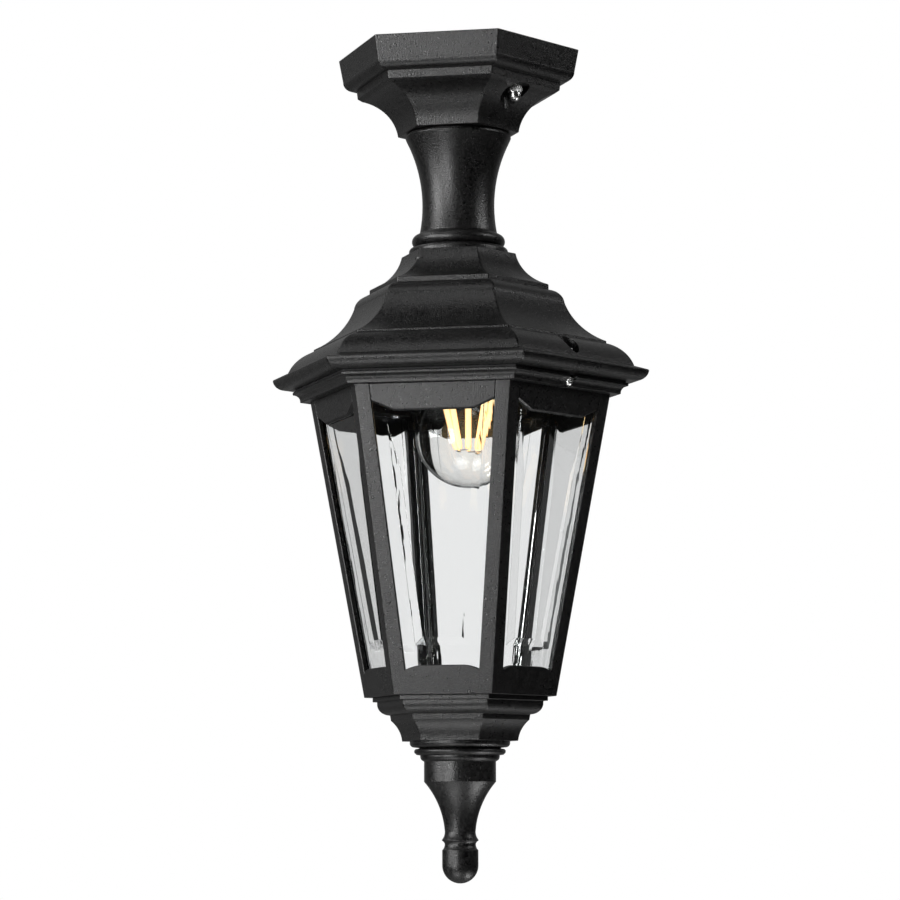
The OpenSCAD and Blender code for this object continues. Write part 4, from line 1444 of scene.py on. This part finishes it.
@dataclass
class Cage:
    """The tapering cage: frame, top rails, panes, clips and screws.

    Attributes:
        top_z: Height of the top of its faces.
        foot_z: Height of its foot.
        top_half: Half width across flats at the top.
        foot_half: Half width across flats at the foot.
        strip: Width of a post on each face.
        pane_back: Depth of the panes' backs behind the faces.
        pane_t: Thickness of a pane at its margin.
        rise: Height of the raised field.
        bevel: Width of the bevel round it.
        margin: Clearance of a pane at each side.
        head: Height of a pane's head.
        foot: Height of its foot.
        field_foot: Height of the field's foot.
        field_head: Height of its head.
        runout_foot: Height where the side bevels begin to run out.
        runout_head: Height where they have run out.
        clip_z: Height of the panes' clips.
        wavy_faces: The faces of a pane that are bevelled or lie outside the bevel.
        lean: Lean of the faces from upright in radians.
    """

    top_z: float = -218.5
    foot_z: float = -404.3
    top_half: float = 82.7
    foot_half: float = 52.6
    strip: float = 9.0
    pane_back: float = 6.8
    pane_t: float = 2.1
    rise: float = 1.4
    bevel: float = 5.0
    margin: float = 2.0
    head: float = -223.6
    foot: float = -392.45
    field_foot: float = -375.5
    field_head: float = -223.9
    runout_foot: float = -269.5
    runout_head: float = -241.9
    clip_z: float = -226.5
    wavy_faces: tuple[int, ...] = (1, 2, 3, 4, 7, 8, 9, 10, 15, 17)
    lean: float = field(init=False, default=0.0)

    def __post_init__(self) -> None:
        """Works out the lean of the faces."""
        self.lean = math.atan((self.top_half - self.foot_half) / (self.top_z - self.foot_z))

    def up_face(self, z: float) -> float:
        """Height to distance up the leaning face."""
        return (z - self.top_z) / math.cos(self.lean)

    def face_half(self, v: float, depth: float = 0.0) -> float:
        """Half the width of a face at v up it and depth behind it."""
        return (self.top_half + v * math.sin(self.lean) - depth * math.cos(self.lean)) * TAN30

    def face_matrix(self, side: int) -> Matrix:
        """Places the face's own axes: x along it, y up it and z out of it.

        Args:
            side: Side 0 is the access side.

        Returns:
            The matrix, in millimetres.
        """
        turn = Matrix.Rotation(math.radians(60 * side), 4, "Z")
        shift = Matrix.Translation((0, -self.top_half, self.top_z))
        return turn @ shift @ Matrix.Rotation(math.radians(90) + self.lean, 4, "X")

    def pane(self, side: int) -> Piece:
        """Makes a bevelled pane.

        Args:
            side: Its side.

        Returns:
            The pane.
        """
        head, foot = self.up_face(self.head), self.up_face(self.foot)
        head_half = self.face_half(head, self.pane_back) - self.margin
        foot_half = self.face_half(foot, self.pane_back) - self.margin
        back, front = -self.pane_back, -self.pane_back + self.pane_t
        top = front + self.rise

        def outer(z: float, level: float) -> tuple[float, float, float]:
            v = self.up_face(z)
            return (self.face_half(v) - self.strip - 7, v, level)

        low, start = outer(self.field_foot, front), outer(self.runout_foot, front)
        half = [
            (foot_half, foot, back), (head_half, head, back),
            (foot_half, foot, front), (head_half, head, front),
            low, start, outer(self.runout_head, front), outer(self.field_head, front),
            (low[0] - self.bevel, low[1] + self.bevel, top), (start[0] - self.bevel, start[1], top),
            outer(self.runout_head, top), outer(self.field_head, top),
        ]
        count = len(half)
        points = half + [(-x, y, z) for x, y, z in half]
        right = [
            (0, 1, 3, 2), (2, 3, 7, 6, 5, 4), (4, 5, 9, 8), (5, 10, 9), (5, 6, 10), (6, 7, 11, 10),
        ]
        faces = right + [tuple(k + count for k in reversed(f)) for f in right]
        for a, b in ((1, 0), (0, 2), (3, 1), (2, 4), (7, 3), (4, 8), (11, 7)):
            faces.append((a, b, b + count, a + count))
        faces.append((8, 9, 10, 11, 11 + count, 10 + count, 9 + count, 8 + count))
        turn = self.face_matrix(side)
        piece = mesh_from(f"pane_{side + 1}", [turn @ Vector(p) for p in points], faces)
        for finish in (PANE_GLASS, PANE_BEVEL):
            piece.data.materials.append(finish.material())
        for face in piece.data.polygons:
            face.material_index = 1 if face.index in self.wavy_faces else 0
        edges = piece.modifiers.new("edges", "BEVEL")
        edges.width = 0.35 * MM
        edges.segments = 2
        edges.limit_method = "ANGLE"
        edges.angle_limit = math.radians(10)
        settle(piece)
        return smooth(piece, 20.0)

    def rail_screws(self) -> Piece:
        """Makes the screws that hold the top rails up, two to each side.

        Returns:
            The piece.
        """
        spots = [Matrix.Translation((x, -71.5, self.top_z - 3.0)) for x in (-20.0, 20.0)]
        pair = [pan_screw("screw", (2.9, 1.9), (1.27, 7.4), ZINC, spot) for spot in spots]
        return repeat(gather("rail_screws_made", pair), 6, ZINC)

    def clip_screws(self) -> Piece:
        """Makes the screw in each corner's clip.

        Returns:
            The piece.
        """
        half = self.top_half + (self.clip_z - self.top_z) * math.tan(self.lean)
        reach = (half - (self.pane_back + 1.25) / math.cos(self.lean)) / COS30 - 2.1
        place = Matrix.Translation((reach, 0, self.clip_z)) @ Matrix.Rotation(math.radians(90), 4, "Y")
        screw = pan_screw("clip_screws_made", (2.2, 1.4), (0.95, 7.0), POWDER, place)
        return repeat(screw, 6, POWDER)

    def build(self) -> None:
        """Builds and dresses the sub-assembly."""
        frame_casting = casting_copy("cage_frame", "cage_casting", POWDER, 0.5)
        stand_for(frame_casting, Body.CAGE, "powder_black", "cage_frame")
        for side in range(6):
            carry(f"top_rail_{side + 1}", "casting", POWDER, 0.3, Body.CAGE, "powder_black")
            stand_for(self.pane(side), Body.CAGE, "pane_glass", f"glass_{side + 1}")
        carry("cage_nut", "bright", STAINLESS, 0.1, Body.CAGE, "stainless")
        stand_for(self.rail_screws(), Body.CAGE, "zinc_steel", "rail_screws")
        stand_for(self.clip_screws(), Body.CAGE, "powder_black", "clip_screws")
        dress(POWDER, "pane_clips")


@dataclass
class Lamp:
    """The clear globe lamp with its crown of glowing rods.

    Attributes:
        centre: Where its axis is.
        globe_z: Height of the globe's middle.
        globe_r: Radius of the globe.
        wall: Thickness of the glass.
        cap_foot: Height of the cap's foot.
        rods: Number of glowing rods.
        rod_r: Radius of a rod with its phosphor coat.
        rod_top: Distance from the axis and height of a rod's top.
        rod_foot: The same for its foot.
        rod_turn: Degrees that the crown is turned.
    """

    centre: Point = (4.0, -4.5)
    globe_z: float = -241.3
    globe_r: float = 33.0
    wall: float = 0.9
    cap_foot: float = -194.5
    rods: int = 8
    rod_r: float = 1.9
    rod_top: Point = (16.2, -215.0)
    rod_foot: Point = (7.5, -250.5)
    rod_turn: float = -4.0

    def envelope(self) -> Piece:
        """Makes the glass: an outer and an inner skin joined at the neck.

        Returns:
            The piece.
        """
        def skin(start: Point, radius: float) -> Outline:
            join = (radius * 0.8, self.globe_z + radius * 0.6)
            return [
                *arc(start, join, -44.0), *arc(join, (radius, self.globe_z), radius),
                *arc((radius, self.globe_z), (0.0, self.globe_z - radius), radius),
            ]

        outer = skin((13.3, self.cap_foot + 1.2), self.globe_r)
        inner = skin((12.4, self.cap_foot + 1.2), self.globe_r - self.wall)
        outline = list(reversed(inner)) + outer
        clean = without_doubles(outline)
        return smooth(spin("lamp_envelope", clean, Sides.ROUND, LAMP_GLASS, self.centre), 60.0)

    def crown(self) -> Piece:
        """Makes the glowing rods: one tapered rod, repeated round the lamp's axis.

        Returns:
            The piece.
        """
        (r1, z1), (r2, z2) = self.rod_top, self.rod_foot
        length = math.hypot(r1 - r2, z1 - z2)
        full = self.rod_r
        outline = [
            (0.0, 0.0), (full * 0.5, -0.3), (full, -2.0), (full, -length + 3.0), (full * 0.7, -length + 0.9),
            (full * 0.4, -length), (0.0, -length),
        ]
        rod = spin("glowing_rods", eased(outline, 1.2), Sides.ROD, FILAMENT)
        tilt = Matrix.Rotation(math.atan2(r1 - r2, z1 - z2), 4, "Y")
        rod.data.transform(Matrix.Translation(Vector((r1, 0, z1)) * MM) @ tilt)
        rod.data.transform(Matrix.Rotation(math.radians(self.rod_turn), 4, "Z"))
        COPIES.apply(rod, {"Copies": self.rods, "Material": FILAMENT.material()})
        rod.data.transform(Matrix.Translation(Vector((*self.centre, 0.0)) * MM))
        return smooth(coat(rod, FILAMENT.material()), 50.0)

    def build(self) -> None:
        """Builds and dresses the sub-assembly."""
        stand_for(self.envelope(), Body.LAMP, "lamp_glass", "lamp_glass")
        dress(LAMP_GLASS, "lamp_stem")
        stand_for(self.crown(), Body.LAMP, "filament", "lamp_filaments")
        dress(CAP_METAL, "lamp_cap")
        dress(ZINC, "lamp_links")
        dress(BRASS, "lamp_contact")
        dress(INSULATOR, "lamp_insulator")


@dataclass
class Drop:
    """The moulded cup and the turned finial under the cage.

    Attributes:
        cup_top: Height of the cup's top.
        cup_foot: Height where its hexagon ends.
        screw_reach: Distance of the cup's screws from the axis.
        screw_turns: Where they stand, in degrees.
        finial_top: Height of the finial's top.
        tip: Height of its tip.
    """

    cup_top: float = -404.3
    cup_foot: float = -431.5
    screw_reach: float = 37.0
    screw_turns: tuple[int, ...] = (30, 150, 270)
    finial_top: float = -436.0
    tip: float = -518.6

    def cup(self) -> Piece:
        """Makes the cup with its foot ring, bosses and bores.

        Returns:
            The piece.
        """
        top = self.cup_top
        outline = [
            (0.0, top - 23.2), (29.2, top - 23.2), (34.4, top - 15.4), (36.0, top - 12.6), (42.4, top - 4.5),
            (44.2, top), (48.0, top), (48.0, top - 2.8), (45.6, top - 2.8),
            *arc((45.5, top - 3.8), (39.2, top - 11.0), 6.9),
            (38.4, top - 11.1), (37.9, top - 14.4), *arc((37.9, top - 14.4), (31.8, self.cup_foot), -19.4),
            (0.0, self.cup_foot),
        ]
        piece = ease_mitres(spin("cup_casting", eased(outline, 0.4), Sides.HEXAGON, POWDER), 0.6)
        ring = [
            (0.0, self.cup_foot + 0.3), (31.0, self.cup_foot + 0.3), (31.0, self.cup_foot - 1.3),
            *arc((31.0, self.cup_foot - 1.3), (28.4, self.cup_foot - 3.8), 2.6, 8.0),
            (25.4, self.cup_foot - 4.1), (25.2, self.finial_top), (0.0, self.finial_top),
        ]
        added = [spin("ring", eased(ring, 0.25), Sides.ROUND, POWDER)]
        tools = [drill(3.3, (0, 0, -440), (0, 0, -420))]
        for turn in self.screw_turns:
            x = self.screw_reach * math.cos(math.radians(turn))
            y = self.screw_reach * math.sin(math.radians(turn))
            boss = drill(4.4, (x, y, top - 12), (x, y, top - 0.6))
            core = [
                (0.0, top), (44.6, top), (44.6, top - 4.0), (38.0, top - 10.4), (36.0, top - 13.0),
                (0.0, top - 13),
            ]
            added.append(keep_inside(boss, spin("core", core, Sides.HEXAGON, POWDER)))
            tools.append(drill(1.7, (x, y, top - 9), (x, y, top + 1)))
        return smooth(carve(carve(piece, added, join=True), tools))

    def finial(self) -> Piece:
        """Makes the turned finial.

        Returns:
            The piece.
        """
        top = self.finial_top
        outline = [
            (0.0, -460.0), (3.02, -460.0), (3.02, top), (25.2, top), (27.4, top - 0.4),
            *arc((27.8, top - 0.7), (27.8, top - 3.0), 1.6, 12.0),
            (26.8, top - 3.9), (24.5, top - 4.2), *arc((24.5, top - 4.2), (23.6, top - 7.2), 3.4, 8.0),
            (22.2, top - 8.0), (22.2, -456.4), *arc((22.2, -456.4), (9.5, -486.8), -52.4),
            *arc((9.5, -486.8), (11.35, -492.0), -7.5), *arc((11.3, -492.4), (9.6, -494.2), -4.0, 8.0),
            (9.6, -495.3), *arc((9.6, -495.3), (11.15, -498.3), -5.0, 8.0), (11.15, -507.45),
            *arc((11.15, -507.45), (0.0, self.tip), 11.15),
        ]
        return smooth(spin("finial_casting", eased(outline, 0.3, 24.0), Sides.ROUND, POWDER))

    def screws(self) -> Piece:
        """Makes the three screws that hold the cup, heads up in the cage.

        Returns:
            The piece.
        """
        turn, reach = math.radians(self.screw_turns[0]), self.screw_reach
        spot = Matrix.Translation((reach * math.cos(turn), reach * math.sin(turn), self.cup_top + 3.2))
        place = spot @ Matrix.Rotation(math.radians(180), 4, "X")
        screw = pan_screw("base_screws_made", (3.8, 2.6), (1.67, 11.2), ZINC, place)
        return repeat(screw, len(self.screw_turns), ZINC)

    def build(self) -> None:
        """Builds and dresses the sub-assembly."""
        stand_for(self.cup(), Body.CAGE, "powder_black", "base")
        stand_for(self.finial(), Body.CAGE, "powder_black", "finial")
        stand_for(self.screws(), Body.CAGE, "zinc_steel", "base_screws")
        dress(ZINC, "finial_stud", "finial_nut")


# ---------------------------------------------------------------- studio


@dataclass(frozen=True)
class SoftLight:
    """A large soft lamp aimed at the lantern.

    Attributes:
        name: Its name.
        azimuth: Direction it stands in, in degrees from +X.
        elevation: Degrees above the lantern's middle.
        distance: Metres from the middle.
        width: Width in metres.
        height: Height in metres.
        watts: Its power.
    """

    name: str
    azimuth: float
    elevation: float
    distance: float
    width: float
    height: float
    watts: float

    def place(self, middle: Vector) -> Piece:
        """Sets the lamp up.

        Args:
            middle: What it is aimed at.

        Returns:
            The lamp.
        """
        data = bpy.data.lights.new(self.name, "AREA")
        data.shape = "RECTANGLE"
        data.size, data.size_y = self.width, self.height
        data.energy = self.watts
        made = bpy.data.objects.new(self.name, data)
        bpy.context.scene.collection.objects.link(made)
        a, e = math.radians(self.azimuth), math.radians(self.elevation)
        away = Vector((math.cos(e) * math.cos(a), math.cos(e) * math.sin(a), math.sin(e)))
        made.location = middle + away * self.distance
        made.rotation_euler = (-away).to_track_quat("-Z", "Y").to_euler()
        return made


@dataclass
class Studio:
    """White studio: world, floor, lamps and camera.

    Attributes:
        middle: Height that the lamps aim at, in metres.
        floor_z: Height of the floor in metres.
        ambient: Level of the world's light on dull surfaces.
        sweep_way: Direction of the white sweep that shows in reflections only.
        floor_reach: Half the floor's width in metres.
        stand: Where the camera stands, in metres.
        gaze: Level direction that it faces.
        pitch: How far it looks up, in radians.
        roll: How far it is tilted, in radians.
        lens: Focal length in millimetres on a 36 mm frame.
        lamps: The soft lamps.
    """

    middle: float = -0.26
    floor_z: float = -2.6
    ambient: float = 0.10
    sweep_way: Colour = (0.68, 0.60, 0.42)
    floor_reach: float = 4.2
    stand: tuple[float, float, float] = (-1.5430, -1.3524, -0.4781)
    gaze: tuple[float, float, float] = (0.7502, 0.6612, 0.0)
    pitch: float = 0.1104
    roll: float = 0.0027
    lens: float = 132.5
    lamps: tuple[SoftLight, ...] = (
        SoftLight("key_left", 152.0, 12.0, 2.0, 0.7, 1.2, 33.0),
        SoftLight("strip_front", 187.0, -3.0, 2.2, 0.35, 1.35, 31.0),
        SoftLight("key_low", 188.0, -62.0, 1.8, 0.9, 0.6, 7.0),
        SoftLight("key_top", 190.0, 54.0, 2.2, 0.8, 0.8, 5.0),
        SoftLight("rim_right", -56.0, 27.0, 2.4, 0.45, 0.8, 14.0),
        SoftLight("kick_right", -42.0, -58.0, 2.0, 0.7, 0.4, 11.0),
        SoftLight("rim_back", 112.0, 50.0, 2.2, 0.8, 0.6, 5.0),
    )

    def world(self) -> None:
        """Makes the world: plain white to the eye, and a white sweep behind, in reflections."""
        made = bpy.data.worlds.new("studio")
        bpy.context.scene.world = made
        made.use_nodes = True
        graph = Graph(made.node_tree)
        ray = graph.rays("Camera", "Transmission", "Glossy")
        seen = graph.math("MAXIMUM", ray["Camera"], ray["Transmission"])
        shine = ray["Glossy"]
        way = graph.wire("ShaderNodeTexCoord", output="Generated")
        behind = graph.wire(
            "ShaderNodeVectorMath", {"operation": "DOT_PRODUCT"}, {0: way, 1: self.sweep_way}, "Value"
        )
        sweep = graph.spread(behind, 0.55, 0.9, 0.01, 0.30)
        level = graph.math("MAXIMUM", seen, shine * sweep + (1 - shine) * self.ambient)
        sky = graph.wire("ShaderNodeBackground", {}, {"Color": (1.0, 1.0, 1.0), "Strength": level})
        graph.node("ShaderNodeOutputWorld", {}, {"Surface": sky})

    def floor(self) -> None:
        """Lays the pale floor, which keeps the lantern's shadow."""
        reach, z = self.floor_reach / MM, self.floor_z / MM
        corners = [(-reach, -reach, z), (reach, -reach, z), (reach, reach, z), (-reach, reach, z)]
        piece = mesh_from("floor", corners, [(0, 1, 2, 3)])
        made = bpy.data.materials.new("floor")
        made.use_nodes = True
        graph = Graph(made.node_tree)
        values = {"Base Color": (0.86, 0.86, 0.86), "Roughness": 0.7}
        paint = graph.principled(values)
        graph.node("ShaderNodeOutputMaterial", {}, {"Surface": paint})
        piece.data.materials.append(made)

    def camera(self) -> None:
        """Stands the camera where the photograph was taken from."""
        data = bpy.data.cameras.new("camera")
        data.lens = self.lens
        data.sensor_width = 36.0
        data.clip_end = 50.0
        made = bpy.data.objects.new("camera", data)
        bpy.context.scene.collection.objects.link(made)
        pitch, roll = self.pitch, self.roll
        level = Vector(self.gaze).normalized()
        ahead = level * math.cos(pitch) + Vector((0, 0, 1)) * math.sin(pitch)
        right = ahead.cross(Vector((0, 0, 1))).normalized()
        up = right.cross(ahead)
        right, up = right * math.cos(roll) - up * math.sin(roll), up * math.cos(roll) + right * math.sin(roll)
        turn = Matrix((right, up, -ahead)).transposed().to_4x4()
        made.matrix_world = Matrix.Translation(self.stand) @ turn
        bpy.context.scene.camera = made

    def build(self) -> None:
        """Sets the studio up."""
        self.world()
        self.floor()
        self.camera()
        for lamp in self.lamps:
            lamp.place(Vector((0, 0, self.middle)))
        bpy.context.scene.view_settings.view_transform = "Standard"


# ---------------------------------------------------------------- the lantern


def main() -> None:
    """Builds the lantern and its studio."""
    logging.basicConfig(level=logging.INFO, format="%(name)s: %(message)s")
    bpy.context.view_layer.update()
    Studio().build()
    for assembly in (Canopy(), Neck(), Roof(), Cage(), Lamp(), Drop()):
        LOG.info("building %s", type(assembly).__name__)
        assembly.build()


if __name__ == "__main__":
    main()
